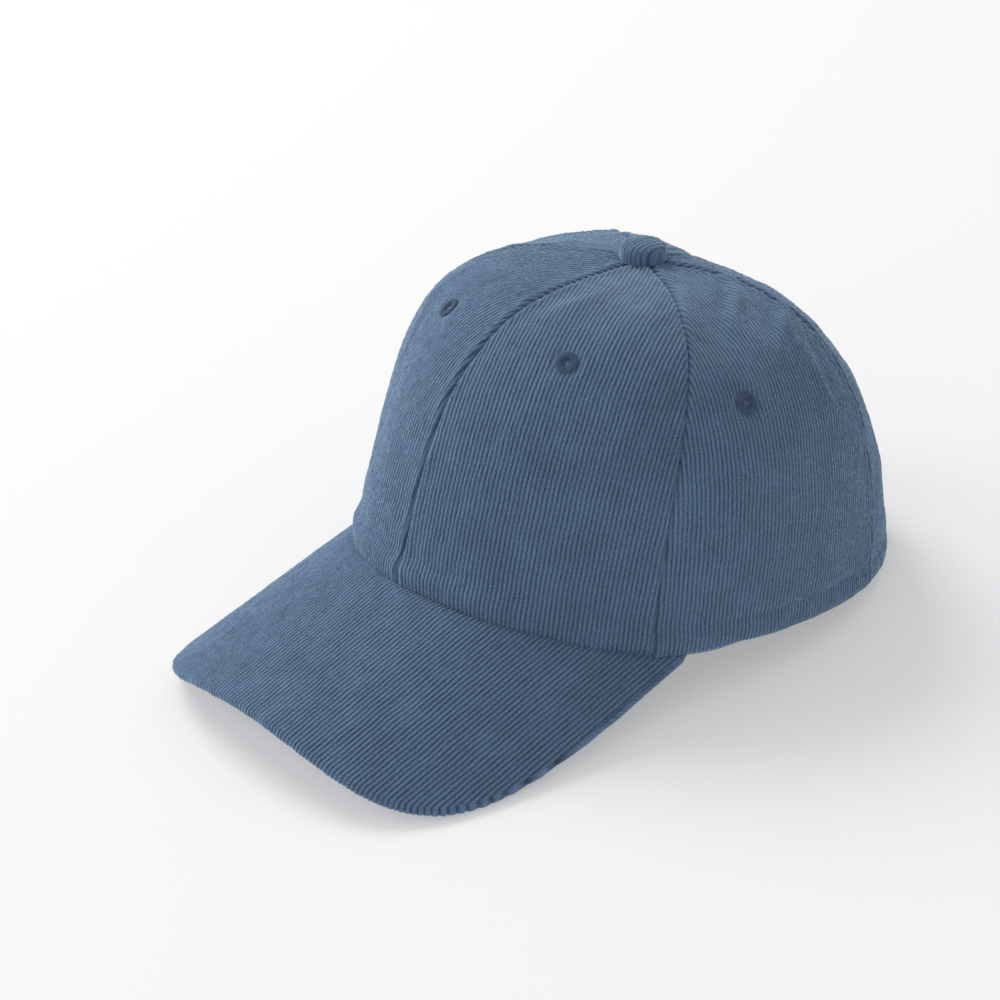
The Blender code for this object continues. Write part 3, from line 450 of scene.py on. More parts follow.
def thickened(name, points, facing, quads, thickness, **attributes):
    """Closed sheet: points joined by quads, their copy set back against facing, and the rim."""
    points, facing = points.reshape(-1, 3), facing.reshape(-1, 3)
    quads = np.array([q for q in np.asarray(quads).tolist() if len(set(q)) > 2])
    count = len(points)
    edges = np.concatenate([quads[:, [i, (i + 1) % 4]] for i in range(4)])
    edges = edges[edges[:, 0] != edges[:, 1]]
    _, first, times = np.unique(np.sort(edges, 1), axis=0, return_index=True, return_counts=True)
    rim = edges[first[times == 1]]
    walls = np.stack([rim[:, 1], rim[:, 0], rim[:, 0] + count, rim[:, 1] + count], -1)
    faces = np.concatenate([quads, quads[:, ::-1] + count, walls]).tolist()
    values = {}
    for key, value in attributes.items():
        value = np.asarray(value).reshape(count, -1)
        values[key] = np.concatenate([value, value]).squeeze()
    both = np.concatenate([points, points - facing * thickness])
    return mesh_of(name, both, faces, **values)


def faced(points):
    """Unit normals of a grid of points (rows, columns, 3)."""
    facing = np.cross(np.gradient(points, axis=1), np.gradient(points, axis=0))
    return facing / np.maximum(np.linalg.norm(facing, axis=-1, keepdims=True), 1e-12)


def laid(points):
    """Distances across and up a grid of points, as the cloth's own coordinates."""
    across = np.linalg.norm(np.diff(points, axis=1), axis=2)
    up = np.linalg.norm(np.diff(points, axis=0), axis=2)
    s = np.concatenate([np.zeros((len(points), 1)), np.cumsum(across, 1)], 1)
    t = np.concatenate([np.zeros((1, points.shape[1])), np.cumsum(up, 0)], 0)
    return np.stack([s, t, 0.0 * s], -1)


def facing_out(points):
    """Unit normals of a grid of points, turned away from the middle of the crown."""
    facing = faced(points)
    return facing * np.sign(np.sum(facing * (points - CROWN_MIDDLE)))


def layer(name, points, thickness):
    """Plain closed sheet over a grid, its visible face on the inward side."""
    quads = grid_faces(*points.shape[:2])
    return thickened(name, points, -facing_out(points), quads, thickness, wale=laid(points))


def smooth_path(knots, steps):
    """Smooth curve through given knots."""
    ends = np.array([knots[0]] + list(knots) + [knots[-1]], float)
    path = []
    for i in range(1, len(ends) - 2):
        p0, p1, p2, p3 = ends[i - 1:i + 3]
        for t in np.arange(steps) / steps:
            path.append(0.5 * (2.0 * p1 + (p2 - p0) * t + (2.0 * p0 - 5.0 * p1 + 4.0 * p2 - p3) * t * t
                               + (3.0 * p1 - p0 - 3.0 * p2 + p3) * t ** 3))
    path.append(ends[-1])
    return np.array(path)


def strip_section(width, thickness, ribs=0.0, steps=6):
    """Closed outline (level, offset) of a strip with rounded edges and, if wanted, wales on its face."""
    count = int(round(width / WALE * steps))
    level = np.linspace(-width / 2.0, width / 2.0, count + 1)
    half = thickness / 2.0
    beside = np.clip((width / 2.0 - np.abs(level)) / half, 0.0, 1.0)
    edge = half * (0.25 + 0.75 * np.sqrt(1.0 - (1.0 - beside) ** 2))
    crest = wale(level / WALE + 0.5)
    top = np.stack([level, edge - ribs * (1.0 - crest)], -1)
    bottom = np.stack([level, -edge], -1)[::-1]
    # mask for the corduroy's painted shade: 0 in a groove, 1 on a crest, a middle value on the plain
    # underside
    pile = np.concatenate([crest, np.full(count + 1, 0.4)])
    return np.concatenate([top, bottom]), pile


def swept(name, path, section, pile, place, narrow=None):
    """Strip whose section (level, offset) follows a path of (along, out) points."""
    slope = unit(np.gradient(path, axis=0))
    level = np.broadcast_to(section[None, :, 0], (len(path), len(section)))
    if narrow is not None:
        level = level * narrow[:, None]
    along = path[:, :1] - slope[:, 1:] * section[None, :, 1]
    out = path[:, 1:] + slope[:, :1] * section[None, :, 1]
    points = place(along, out, level)
    rows, columns = points.shape[:2]
    ends = [(start + k, start + k + 1, start + columns - 2 - k, start + columns - 1 - k)
            for start in (0, (rows - 1) * columns) for k in range(columns // 2 - 1)]
    run = distance_along(path)[:, None]
    wales = np.stack([level, np.broadcast_to(run, level.shape), 0.0 * level], -1)
    return mesh_of(name, points.reshape(-1, 3), tube_faces(rows, columns).tolist() + ends,
                   pile=np.broadcast_to(pile, level.shape).ravel(), wale=wales.reshape(-1, 3))


def turned(name, profile, place, steps, ripple=0.0, **attributes):
    """Closed ring or disc turned from a closed profile of (radius, height) points."""
    turn = full_turn(steps)
    radius, height = (np.array(column)[:, None] for column in zip(*profile))
    points = place(radius * np.cos(turn), radius * np.sin(turn), height + 0.0 * turn + ripple)
    index = np.arange(len(profile) * steps)
    for i, (reach, _) in enumerate(profile):
        if reach == 0.0:
            index[i * steps:(i + 1) * steps] = i * steps
    faces = index[tube_faces(len(profile), steps, True)].tolist()
    return mesh_of(name, points.reshape(-1, 3), faces, **attributes)


def at_run(rows, run, place):
    return np.array([np.interp(place, run, rows[:, a]) for a in range(3)])


def stitched(name, lines, length=0.0026, gap=0.0010, width=0.00021):
    """Rows of separate thread stitches along lines of (points, outward normals)."""
    points, faces = [], []
    stations, sides = 6, 7
    sleeve, last = tube_faces(stations, sides), (stations - 1) * sides
    for line, normal in lines:
        run = distance_along(line)
        total = int((run[-1] - gap) / (length + gap))
        for k in range(total):
            middle = (k + 0.5) * run[-1] / total
            tail, head = (at_run(line, run, middle + s * length / 2.0) for s in (-1.0, 1.0))
            out = unit(at_run(normal, run, middle))
            along = head - tail
            side = unit(np.cross(along, out))
            centre = (tail + head) / 2.0
            start = len(points)
            for s in np.linspace(-1.0, 1.0, stations):
                r = width * math.sqrt(max(1.0 - 0.97 * s * s, 0.0))
                for turn in full_turn(sides):
                    points.append(centre + along * s / 2.0 + side * r * math.cos(turn) * 1.2
                                  + out * (r * math.sin(turn) + width * 0.3))
            faces += (start + sleeve).tolist()
            faces.append(tuple(start + j for j in range(sides)))
            faces.append(tuple(start + last + j for j in reversed(range(sides))))
    return mesh_of(name, np.array(points), faces)


# ---- relief of the cloth
def wale(turns):
    """Rounded wales with narrow grooves: 0 in a groove, 1 on a crest."""
    return np.abs(np.sin(math.pi * turns)) ** 0.7


def bell(x, width):
    return np.exp(-(x / width) ** 2)


def soft_noise(seed, x, y, size):
    """Smooth noise from -1 to 1 over two coordinates in metres."""
    rng = np.random.default_rng(seed)
    total = 0.0
    for _ in range(7):
        angle, phase = rng.uniform(0.0, 2.0 * math.pi, 2)
        scale = rng.uniform(0.6, 1.6) * 2.0 * math.pi / size
        total = total + np.sin((x * math.cos(angle) + y * math.sin(angle)) * scale + phase)
    return total / 3.5


CREASES = {("side", 1.0): ((-0.012, 0.132, 62.0, 0.018, 0.0012), (0.004, 0.124, 48.0, 0.022, 0.0014),
                           (0.018, 0.108, 35.0, 0.018, 0.0012), (0.020, 0.086, -70.0, 0.014, 0.0008)),
           ("side", -1.0): ((-0.012, 0.130, 58.0, 0.018, 0.0006), (0.010, 0.118, 42.0, 0.018, 0.0007)),
           ("front", 1.0): ((0.020, 0.062, 80.0, 0.020, 0.0004), (-0.012, 0.118, 65.0, 0.015, 0.0005)),
           ("front", -1.0): ((0.014, 0.080, 75.0, 0.018, 0.0005),),
           ("back", 1.0): ((-0.016, 0.050, 70.0, 0.018, 0.0006), (0.006, 0.075, 20.0, 0.016, 0.0005)),
           ("back", -1.0): ((-0.010, 0.060, 65.0, 0.018, 0.0006),)}


def creases(kind, sign, q, run):
    """Soft pulled folds: each a middle across and up, a direction, a half length and a height."""
    total = 0.0
    for middle, climb, angle, reach, height in CREASES[kind, sign]:
        c, s = math.cos(math.radians(angle)), math.sin(math.radians(angle))
        along = (q - middle) * c + (run - climb) * s
        beside = (run - climb) * c - (q - middle) * s + 0.0015 * np.sin(along / 0.006)
        fold = bell(beside, 0.0032) - 0.7 * bell(beside - 0.0055, 0.0035)
        total = total + height * bell(along, reach) * fold
    return total


def panel_relief(kind, sign, q, half, run, seed):
    """Outward relief of a panel: q across from its centre line, run up from the hem."""
    beside = half - np.abs(q)
    pull = 1.0 + 0.35 * soft_noise(seed + 60, run + 0.0 * q, np.sign(q) * 0.05, 0.012)
    seam = -0.00095 * bell(beside, 0.0007) + 0.00042 * pull * bell(beside - 0.0021, 0.0015)
    roll = -0.0008 * bell(run, 0.0010)
    if kind == "front":
        roll = roll + 0.0010 * bell(run - 0.0048, 0.0034) - 0.0004 * bell(run - 0.0115, 0.0030)
    elif kind == "side":
        ahead = np.clip((-q / half - 0.35) / 0.5, 0.0, 1.0)
        roll = roll + ahead * 0.0010 * bell(run - 0.0048, 0.0034)
        hem = 0.0004 * bell(run - 0.004, 0.003) - 0.0005 * bell(run - 0.0095, 0.0012)
        roll = roll + (1.0 - ahead) * hem
    else:
        roll = roll + 0.0004 * bell(run - 0.004, 0.003) - 0.0005 * bell(run - 0.0090, 0.0012)
    ripple = 0.00030 * soft_noise(seed, q, run, 0.030) + 0.00012 * soft_noise(seed + 7, q, run, 0.011)
    return seam + roll + ripple + creases(kind, sign, q, run)


def eyelet_angles(kind):
    return [np.array(math.radians(a)) for a in EYELET_PLACES[kind]]


def around_eyelet(kind, points):
    """Distance of each panel point from the middle of its eyelet."""
    return np.linalg.norm(points - crown_point(*eyelet_angles(kind)), axis=-1)


# ---- crown panels
PANEL_ROWS = 176
DENSE_COLUMNS = 241
BACK_ROWS = 30
BACK_COLUMNS = 25
VISOR_FADE = 0.012


def no_edge(phi):
    return 0.0 * phi


PANELS = {"front": (centre_seam, side_seam, no_edge),
          "side": (side_seam, rear_seam, no_edge),
          "back": (rear_seam, back_seam, arch_angle)}


def panel_angles(kind, share, across):
    """Angles round the hem and up the crown at shares up and across a panel."""
    low, high, edge = PANELS[kind]
    phi = low(share) * (1.0 - across) + high(share) * across
    bottom = edge(phi)
    return phi, bottom + (apex_angle(phi, APEX_HOLE_RADIUS) - bottom) * share


def panel_sheet(kind, sign):
    """One ribbed panel: its wales run at a constant distance from its centre line."""
    share = np.linspace(0.0, 1.0, PANEL_ROWS + 1)[:, None]
    dense = np.linspace(0.0, 1.0, DENSE_COLUMNS)
    points = crown_point(*panel_angles(kind, share, dense[None, :]))
    length = laid(points)[..., 0]
    half = length[:, -1:] / 2.0
    run = distance_along(points[:, DENSE_COLUMNS // 2])[:, None]
    reach = int(np.ceil(half.max() / WALE * WALE_STEPS)) + 1
    offsets = np.arange(-reach, reach + 1) * WALE / WALE_STEPS
    q = np.clip(offsets[None, :], -half, half)
    first = np.maximum((offsets[None, :] <= -half + 1e-9).sum(1) - 1, 0)
    last = np.minimum(len(offsets) - (offsets[None, :] >= half - 1e-9).sum(1), len(offsets) - 1)
    across = np.stack([np.interp(q[r] + half[r], length[r], dense) for r in range(len(share))])
    phi, alpha = panel_angles(kind, share, across)
    seed = {"front": 3, "side": 5, "back": 8}[kind] + (20 if sign < 0.0 else 0)
    run_all = run + 0.0 * q
    wander = 0.00013 * soft_noise(seed + 40, q, run_all, 0.016)
    wander = wander + 0.00007 * soft_noise(seed + 50, q, run_all, 0.005)
    ribs = wale((q + wander) / WALE)
    tufts = np.random.default_rng(seed).normal(0.0, TUFT_SPREAD, ribs.shape)
    apart = around_eyelet(kind, crown_point(phi, alpha))
    flat = np.clip((apart - EYELET_RADIUS) / 0.002, 0.15, 1.0)
    height = WALE_HEIGHT * (ribs * (1.0 + tufts) - 0.55) * flat * np.clip(0.3 + run / 0.0012, 0.3, 1.0)
    relief = panel_relief(kind, sign, q, half, run, seed) * np.clip(apart / 0.008, 0.2, 1.0) + height
    relief = relief - 0.0007 * bell(apart, 0.0020) - 0.0005 * bell(apart - 0.0046, 0.0012)
    face = crown_at(phi, alpha, relief)
    if kind != "back":
        over_visor = np.clip((END_Y + VISOR_FADE - hem_plan(phi)[1]) / VISOR_FADE, 0.0, 1.0)
        face[..., 2] -= 0.0019 * bell(run, 0.0018) * over_visor
    back_share = np.linspace(0.0, 1.0, BACK_ROWS + 1)
    back_across = np.linspace(0.0, 1.0, BACK_COLUMNS + 1)
    back_phi, back_alpha = panel_angles(kind, back_share[:, None], back_across[None, :])
    back = crown_at(back_phi, back_alpha, -CLOTH + 0.0 * back_phi)
    mirror = np.array([sign, 1.0, 1.0])
    wales = np.stack([q, run_all, 0.0 * q], -1)
    # the rib values drive the painted shade in the grooves; the plain back takes a middle value
    return shell("cloth", face * mirror, (first, last, across), back * mirror, (back_across, back_share),
                 pile=(ribs, 0.4), wale=(wales, 0.0))


# ---- materials
def new_material(name, values):
    """Material and its main shader, with values set on the shader's own sockets."""
    material = bpy.data.materials.new(name)
    material.use_nodes = True
    shader = material.node_tree.nodes["Principled BSDF"]
    for key, value in values.items():
        shader.inputs[key].default_value = value
    return material, shader


def node(tree, kind, **settings):
    made = tree.nodes.new(kind)
    for key, value in settings.items():
        if key in made.inputs:
            made.inputs[key].default_value = value
        else:
            setattr(made, key, value)
    return made


def join(source, output, target, entry):
    source.id_data.links.new(source.outputs[output], target.inputs[entry])


def after(source, output, kind, entry, **settings):
    """New node that takes one input from another node."""
    made = node(source.id_data, kind, **settings)
    join(source, output, made, entry)
    return made


def noise(source, output, scale, detail):
    return after(source, output, "ShaderNodeTexNoise", "Vector", Scale=scale, Detail=detail)


def shades(source, output, colour, factors, stops):
    """Ramp between two multiples of a colour, at two stops."""
    ramp = after(source, output, "ShaderNodeValToRGB", "Fac")
    for element, factor, stop in zip(ramp.color_ramp.elements, factors, stops):
        element.position = stop
        element.color = (*[min(c * factor, 1.0) for c in colour], 1.0)
    return ramp


def bumped(source, output, shader, strength, distance):
    bump = after(source, output, "ShaderNodeBump", "Height", Strength=strength, Distance=distance)
    join(bump, "Normal", shader, "Normal")


def corduroy(name="corduroy", colour=(0.092, 0.150, 0.242)):
    """Ribbed corduroy: painted shade in the grooves and a lighter colour on the crests, uneven in its tufts,
    with a soft bluish sheen.
    """
    material, shader = new_material(name, {
        "Roughness": 0.95, "Specular IOR Level": 0.12, "Sheen Weight": 1.0, "Sheen Roughness": 0.40,
        "Sheen Tint": (0.62, 0.80, 1.0, 1.0)})
    tree = material.node_tree
    pile = node(tree, "ShaderNodeAttribute", attribute_name="pile")
    wales = node(tree, "ShaderNodeAttribute", attribute_name="wale")
    # painted shade: the colour falls to a third of itself in the grooves and rises on the crests of the
    # wales
    ramp = shades(pile, "Fac", colour, (0.33, 1.22), (0.05, 0.95))
    stretch = after(wales, "Vector", "ShaderNodeMapping", "Vector", Scale=(2400.0, 1500.0, 1.0))
    tufts = noise(stretch, "Vector", 1.0, 3.0)
    mottle = noise(node(tree, "ShaderNodeTexCoord"), "Object", 75.0, 4.0)
    both = node(tree, "ShaderNodeMath", operation="MULTIPLY")
    for entry, (source, low, high) in enumerate(((tufts, 0.68, 1.32), (mottle, 0.90, 1.10))):
        limits = {"From Min": 0.3, "From Max": 0.7, "To Min": low, "To Max": high}
        join(after(source, "Fac", "ShaderNodeMapRange", "Value", **limits), "Result", both, entry)
    tint = after(ramp, "Color", "ShaderNodeMix", 6, data_type="RGBA", blend_type="MULTIPLY")
    tint.inputs[0].default_value = 1.0
    join(both, 0, tint, 7)
    join(tint, 2, shader, "Base Color")
    bumped(tufts, "Fac", shader, 0.8, 0.00035)
    return material


def woven(name, colour, roughness, scale, slant, depth, contrast=0.25, sheen=0.2):
    """Woven cloth: fine diagonal or square rows in the sheet's own coordinates, and slight mottling."""
    material, shader = new_material(name, {
        "Roughness": roughness, "Specular IOR Level": 0.25, "Sheen Weight": sheen, "Sheen Roughness": 0.5})
    tree = material.node_tree
    laid_on = node(tree, "ShaderNodeAttribute", attribute_name="wale")
    turn = after(laid_on, "Vector", "ShaderNodeMapping", "Vector",
                 Rotation=(0.0, 0.0, math.radians(slant)), Scale=(scale, scale, scale))
    rows = after(turn, "Vector", "ShaderNodeTexWave", "Vector", Scale=1.0, Distortion=0.6, Detail=2.0)
    crossing = after(turn, "Vector", "ShaderNodeTexWave", "Vector", Scale=1.7, Distortion=0.4, Detail=2.0,
                     bands_direction="Y")
    weave = after(rows, "Fac", "ShaderNodeMath", 0, operation="MULTIPLY")
    join(crossing, "Fac", weave, 1)
    both = after(weave, 0, "ShaderNodeMath", 0, operation="ADD")
    join(noise(node(tree, "ShaderNodeTexCoord"), "Object", 60.0, 5.0), "Fac", both, 1)
    ramp = shades(both, 0, colour, (1.0 - contrast, 1.0 + contrast), (0.25, 1.0))
    join(ramp, "Color", shader, "Base Color")
    bumped(weave, 0, shader, 0.7, depth)
    return material


def metal(name, colour, roughness, grain):
    """Brushed metal with faint streaks and worn patches."""
    material, shader = new_material(name, {"Metallic": 1.0})
    place = node(material.node_tree, "ShaderNodeTexCoord")
    stretch = after(place, "Object", "ShaderNodeMapping", "Vector", Scale=(grain, grain, grain * 12.0))
    streaks = noise(stretch, "Vector", 1.0, 5.0)
    limits = {"To Min": roughness * 0.7, "To Max": roughness * 1.4}
    join(after(streaks, "Fac", "ShaderNodeMapRange", "Value", **limits), "Result", shader, "Roughness")
    join(shades(streaks, "Fac", colour, (0.82, 1.0), (0.3, 0.7)), "Color", shader, "Base Color")
    bumped(streaks, "Fac", shader, 0.15, 0.00005)
    return material


def twisted(name, colour):
    """Sewing thread: fine turns of ply in object space and a soft lustre."""
    material, shader = new_material(name, {"Roughness": 0.8, "Specular IOR Level": 0.2, "Sheen Weight": 0.1})
    ply = noise(node(material.node_tree, "ShaderNodeTexCoord"), "Object", 2600.0, 3.0)
    join(shades(ply, "Fac", colour, (0.6, 1.35), (0.3, 0.7)), "Color", shader, "Base Color")
    bumped(ply, "Fac", shader, 0.5, 0.0001)
    return material


CORDUROY = corduroy()
TWILL = woven("sweatband_twill", (0.045, 0.075, 0.135), 0.85, 700.0, 33.0, 0.00012)
TAPE_CLOTH = woven("seam_tape", (0.055, 0.095, 0.170), 0.82, 900.0, 0.0, 0.00010)
BUCKRAM_CLOTH = woven("buckram", (0.70, 0.68, 0.62), 0.92, 420.0, 0.0, 0.00018, 0.22, 0.05)
BOARD = woven("visor_board", (0.68, 0.68, 0.65), 0.5, 120.0, 0.0, 0.00003, 0.06, 0.0)
THREAD = twisted("eyelet_thread", (0.058, 0.094, 0.163))
NICKEL = metal("buckle_metal", (0.56, 0.55, 0.53), 0.30, 160.0)
RIVET = metal("rivet_metal", (0.66, 0.66, 0.67), 0.38, 220.0)
SATIN = woven("label_satin", (0.84, 0.84, 0.82), 0.42, 1100.0, 0.0, 0.00004, 0.06, 0.35)


def cloth(piece):
    """Return a piece of cloth unchanged."""
    return piece


def make_panels():
    for kind in PANELS:
        for side, sign in SIDES:
            piece = link(f"{kind}_panel_{side}", panel_sheet(kind, sign), "crown", CORDUROY,
                         (f"panel_{kind}_{side}",))
            cloth(piece)


# ---- visor
VISOR_ROWS = 60
LIP_STEPS = 8
LIP_BACK = 0.0012
VISOR_CLOTH = 0.0009
LINING_TOP = 0.0032
LINING = 0.0007
LINING_INSET = 0.0029
VISOR_END_TURN = math.radians(88.6)
VISOR_RIB_SINK = 0.85


def visor_columns(limit, steps):
    """Arc distances of the columns, a whole number of them to each wale, out to a limit."""
    count = int(limit / WALE * steps)
    u = np.arange(-count, count + 1) * WALE / steps
    near = np.linspace(count * WALE / steps, limit, 4)[1:]
    return np.concatenate([-near[::-1], u, near])


def visor_border():
    """Dense points of the visor's outer edge and the directions square to it."""
    share = np.linspace(-1.0, 1.0, 6001)
    turn = math.pi / 2.0 * np.sign(share) * (1.0 - (1.0 - np.abs(share)) ** 3)
    edge = np.stack(visor_outline(turn), -1)
    run = distance_along(edge)
    even = np.linspace(0.0, run[-1], 3001)
    edge = np.stack([np.interp(even, run, edge[:, k]) for k in range(2)], -1)
    along = unit(np.gradient(edge, axis=0))
    return edge, np.stack([-along[:, 1], along[:, 0]], -1)


def visor_edge(u, inset):
    """Distance forward of the outer edge drawn in by inset, at each arc distance."""
    edge, side = visor_border()
    inner_u, inner_v = (edge - side * inset).T
    keep = np.concatenate([[True], np.diff(np.maximum.accumulate(inner_u)) > 0.0])
    return np.interp(u, inner_u[keep], inner_v[keep])


def visor_limit(inset):
    """Arc distance at which the sheet drawn in by inset ends beside the crown."""
    return VISOR_REACH * math.sin(VISOR_END_TURN) - inset


def visor_grid(inset, steps, rows):
    """Columns at constant arc distance between the crown and the edge drawn in by inset."""
    u = visor_columns(visor_limit(inset), steps)
    root_v = visor_root(np.clip(u, -VISOR_ROOT_HALF_ARC, VISOR_ROOT_HALF_ARC))
    far_v = np.maximum(visor_edge(u, inset), root_v + 0.0004)
    share = np.linspace(0.0, 1.0, rows + 1)[:, None]
    return np.broadcast_to(u, (rows + 1, len(u))), root_v + (far_v - root_v) * share


def visor_relief(u, run, seed):
    """Wales along the visor with their uneven tufts, and a gentle unevenness of the cloth."""
    wander = 0.00013 * soft_noise(91, u, run, 0.018) + 0.00006 * soft_noise(93, u, run, 0.005)
    ribs = wale((u + wander) / WALE)
    tufts = np.random.default_rng(seed).normal(0.0, TUFT_SPREAD, ribs.shape)
    ripple = 0.00012 * soft_noise(13, u, run, 0.035) + 0.00008 * soft_noise(17, u, run, 0.012)
    return ribs, WALE_HEIGHT * (ribs * (1.0 + tufts) - VISOR_RIB_SINK) + ripple


def visor_top_mesh():
    """Ribbed top of the visor, its root tucked under the hem and its rim turned under."""
    radius = VISOR_DEPTH / 2.0
    u, v = visor_grid(radius, WALE_STEPS, VISOR_ROWS)
    tuck = np.array([[0.0022], [0.0011]])
    u = np.concatenate([u[:2], u])
    v = np.concatenate([v[:1] - tuck, v])
    rows, columns = u.shape
    run = np.cumsum(np.concatenate([0.0 * v[:1], np.diff(v, axis=0)]), 0)
    ribs, height = visor_relief(u, run, 9)
    sunk = -0.0009 * bell(np.maximum(run - 0.0022, 0.0), 0.0014) - np.concatenate(
        [np.full((1, columns), 0.0016), np.full((1, columns), 0.0006), np.zeros((rows - 2, columns))])
    base, up = visor_surface(u, v), visor_normal(u, v)
    top = base + up * (height + sunk)[..., None]
    index = np.arange(rows * columns).reshape(rows, columns)
    path = np.concatenate([index[:, 0], index[-1, 1:], index[:-1, -1][::-1]])
    flat_u, flat_v = u.ravel()[path], v.ravel()[path]
    edge, square = visor_border()
    flat = np.stack([flat_u, flat_v], -1)
    apart = np.linalg.norm(flat[:, None] - (edge - square * radius)[None], axis=-1)
    side = square[apart.argmin(1)]
    lift = (height + sunk).ravel()[path]
    rib = ribs.ravel()[path]
    rim_points, rim_facing, rim_run = [], [], []
    for n in range(1, LIP_STEPS + 3):
        turn = math.pi * min(n, LIP_STEPS) / LIP_STEPS
        back = LIP_BACK * max(n - LIP_STEPS, 0) / 2.0
        out = radius * math.sin(turn) - back
        at_u, at_v = flat_u + side[:, 0] * out, flat_v + side[:, 1] * out
        down = radius * (1.0 - math.cos(turn))
        upward = visor_normal(at_u, at_v)
        sideways = unit(visor_surface(at_u + side[:, 0] * SLOPE_STEP, at_v + side[:, 1] * SLOPE_STEP)
                        - visor_surface(at_u - side[:, 0] * SLOPE_STEP, at_v - side[:, 1] * SLOPE_STEP))
        facing = upward * math.cos(turn) + sideways * math.sin(turn)
        rim_points.append(visor_surface(at_u, at_v) - upward * down + facing * lift[:, None])
        rim_facing.append(facing)
        rim_run.append(radius * turn + back)
    count = rows * columns
    points = np.concatenate([top.reshape(-1, 3)] + rim_points)
    facing = np.concatenate([up.reshape(-1, 3)] + rim_facing)
    rings = [path] + [count + k * len(path) + np.arange(len(path)) for k in range(LIP_STEPS + 2)]
    quads = [grid_faces(rows, columns)]
    for first, second in zip(rings[:-1], rings[1:]):
        quads.append(np.stack([first[:-1], first[1:], second[1:], second[:-1]], -1)[:, ::-1])
    pile = np.concatenate([ribs.ravel()] + [rib] * (LIP_STEPS + 2))
    far = run.ravel()[path]
    wales = [np.stack([u.ravel(), run.ravel(), 0.0 * run.ravel()], -1)]
    wales += [np.stack([flat_u, far + r, 0.0 * far], -1) for r in rim_run]
    return thickened("cover", points, facing, np.concatenate(quads), VISOR_CLOTH,
                     pile=pile, wale=np.concatenate(wales))


def visor_lining_mesh():
    """Ribbed underside of the visor, turned in along its edge."""
    u, v = visor_grid(LINING_INSET, 4, 44)
    rows, columns = u.shape
    run = v - v[:1]
    ribs, height = visor_relief(u, run, 19)
    left = (v[-1:] - v)
    edge = 0.0006 * bell(left, 0.0012) + 0.0006 * bell(visor_limit(LINING_INSET) - np.abs(u), 0.0012)
    up = visor_normal(u, v)
    depth = LINING_TOP + LINING + (height * 0.8 - edge)
    points = visor_surface(u, v) - up * depth[..., None]
    wales = np.stack([u, run, 0.0 * run], -1)
    return thickened("lining", points, -up, grid_faces(rows, columns), LINING,
                     pile=ribs.ravel(), wale=wales.reshape(-1, 3))


def make_visor():
    cover = link("visor_cover", visor_top_mesh(), "crown", CORDUROY, ("visor_top_cover",))
    cloth(cover)
    lining = link("visor_underside", visor_lining_mesh(), "crown", CORDUROY, ("visor_lining",))
    cloth(lining)


# ---- button and eyelets
def make_button():
    """Ribbed cloth cap, and the washer and hollow rivet that hold it."""
    base = CROWN_HEIGHT + FIT_GAP

    def place(a, b, c):
        return np.stack([a + 0.0 * c, APEX_SHIFT + b + 0.0 * c, base + c], -1)

    lip, steps, rounding = 0.0009, 132, 0.42
    top = [(BUTTON_RADIUS * math.sin(a), lip + (BUTTON_HEIGHT - lip) * math.cos(a) ** rounding)
           for a in (np.linspace(0.0, 1.0, 22) * math.pi / 2.0)[:-1]]
    top += [(BUTTON_RADIUS, lip), (BUTTON_RADIUS * 0.985, lip * 0.5), (BUTTON_RADIUS * 0.93, 0.0),
            (BUTTON_RADIUS * 0.6, 0.0002), (0.0, 0.0002)]
    turn = full_turn(steps)
    radius, height = (np.array(column)[:, None] for column in zip(*top))
    ribs = wale(radius * np.cos(turn) / WALE + 0.5)
    weight = np.where(height > lip * 0.7, 1.0, 0.0)
    tufts = 1.0 + np.random.default_rng(77).normal(0.0, 0.10, ribs.shape)
    knobs = 0.00018 * np.sin(turn * 17.0) * np.clip(radius / BUTTON_RADIUS - 0.6, 0.0, 1.0) * 2.5
    ripple = (WALE_HEIGHT * 0.95 * (ribs * tufts - 0.8) + knobs) * weight
    wales = np.stack([radius * np.cos(turn), radius * np.sin(turn), 0.0 * ribs], -1)
    mesh = turned("button", top, place, steps, ripple, pile=ribs.ravel(), wale=wales.reshape(-1, 3))
    link("button_cap", mesh, "top_button", CORDUROY, ("button_cover",))
    high, low = -WASHER_DEPTH, -WASHER_DEPTH - WASHER
    hole, bevel = RIVET_RADIUS + FIT_GAP, 0.0002
    ring = [(hole, high - bevel), (hole + bevel, high), (WASHER_RADIUS - bevel, high),
            (WASHER_RADIUS, high - bevel), (WASHER_RADIUS, low + bevel), (WASHER_RADIUS - bevel, low),
            (hole + 0.0022, low), (hole + 0.0016, low + bevel), (hole + bevel, low), (hole, low + bevel)]
    mesh = turned("disc", ring, place, 64)
    link("button_disc", mesh, "top_button", RIVET, ("button_washer",))
    tail = low - FIT_GAP
    head = RIVET_RADIUS + 0.0012
    crest = BUTTON_HEIGHT - 0.0011 - FIT_GAP - 0.0006 - FIT_GAP
    pin = [(0.0, crest), (head * 0.8, crest), (head, crest - 0.0003), (head, crest - WASHER),
           (RIVET_RADIUS, crest - WASHER - bevel), (RIVET_RADIUS, tail + bevel), (head * 0.97, tail),
           (head, tail - bevel), (head * 0.9, tail - WASHER * 0.7), (head * 0.55, tail - WASHER),
           (head * 0.3, tail - WASHER * 0.6), (0.0, tail - WASHER * 0.5)]
    mesh = turned("pin", pin, place, 48)
    link("button_pin", mesh, "top_button", RIVET, ("button_rivet",))


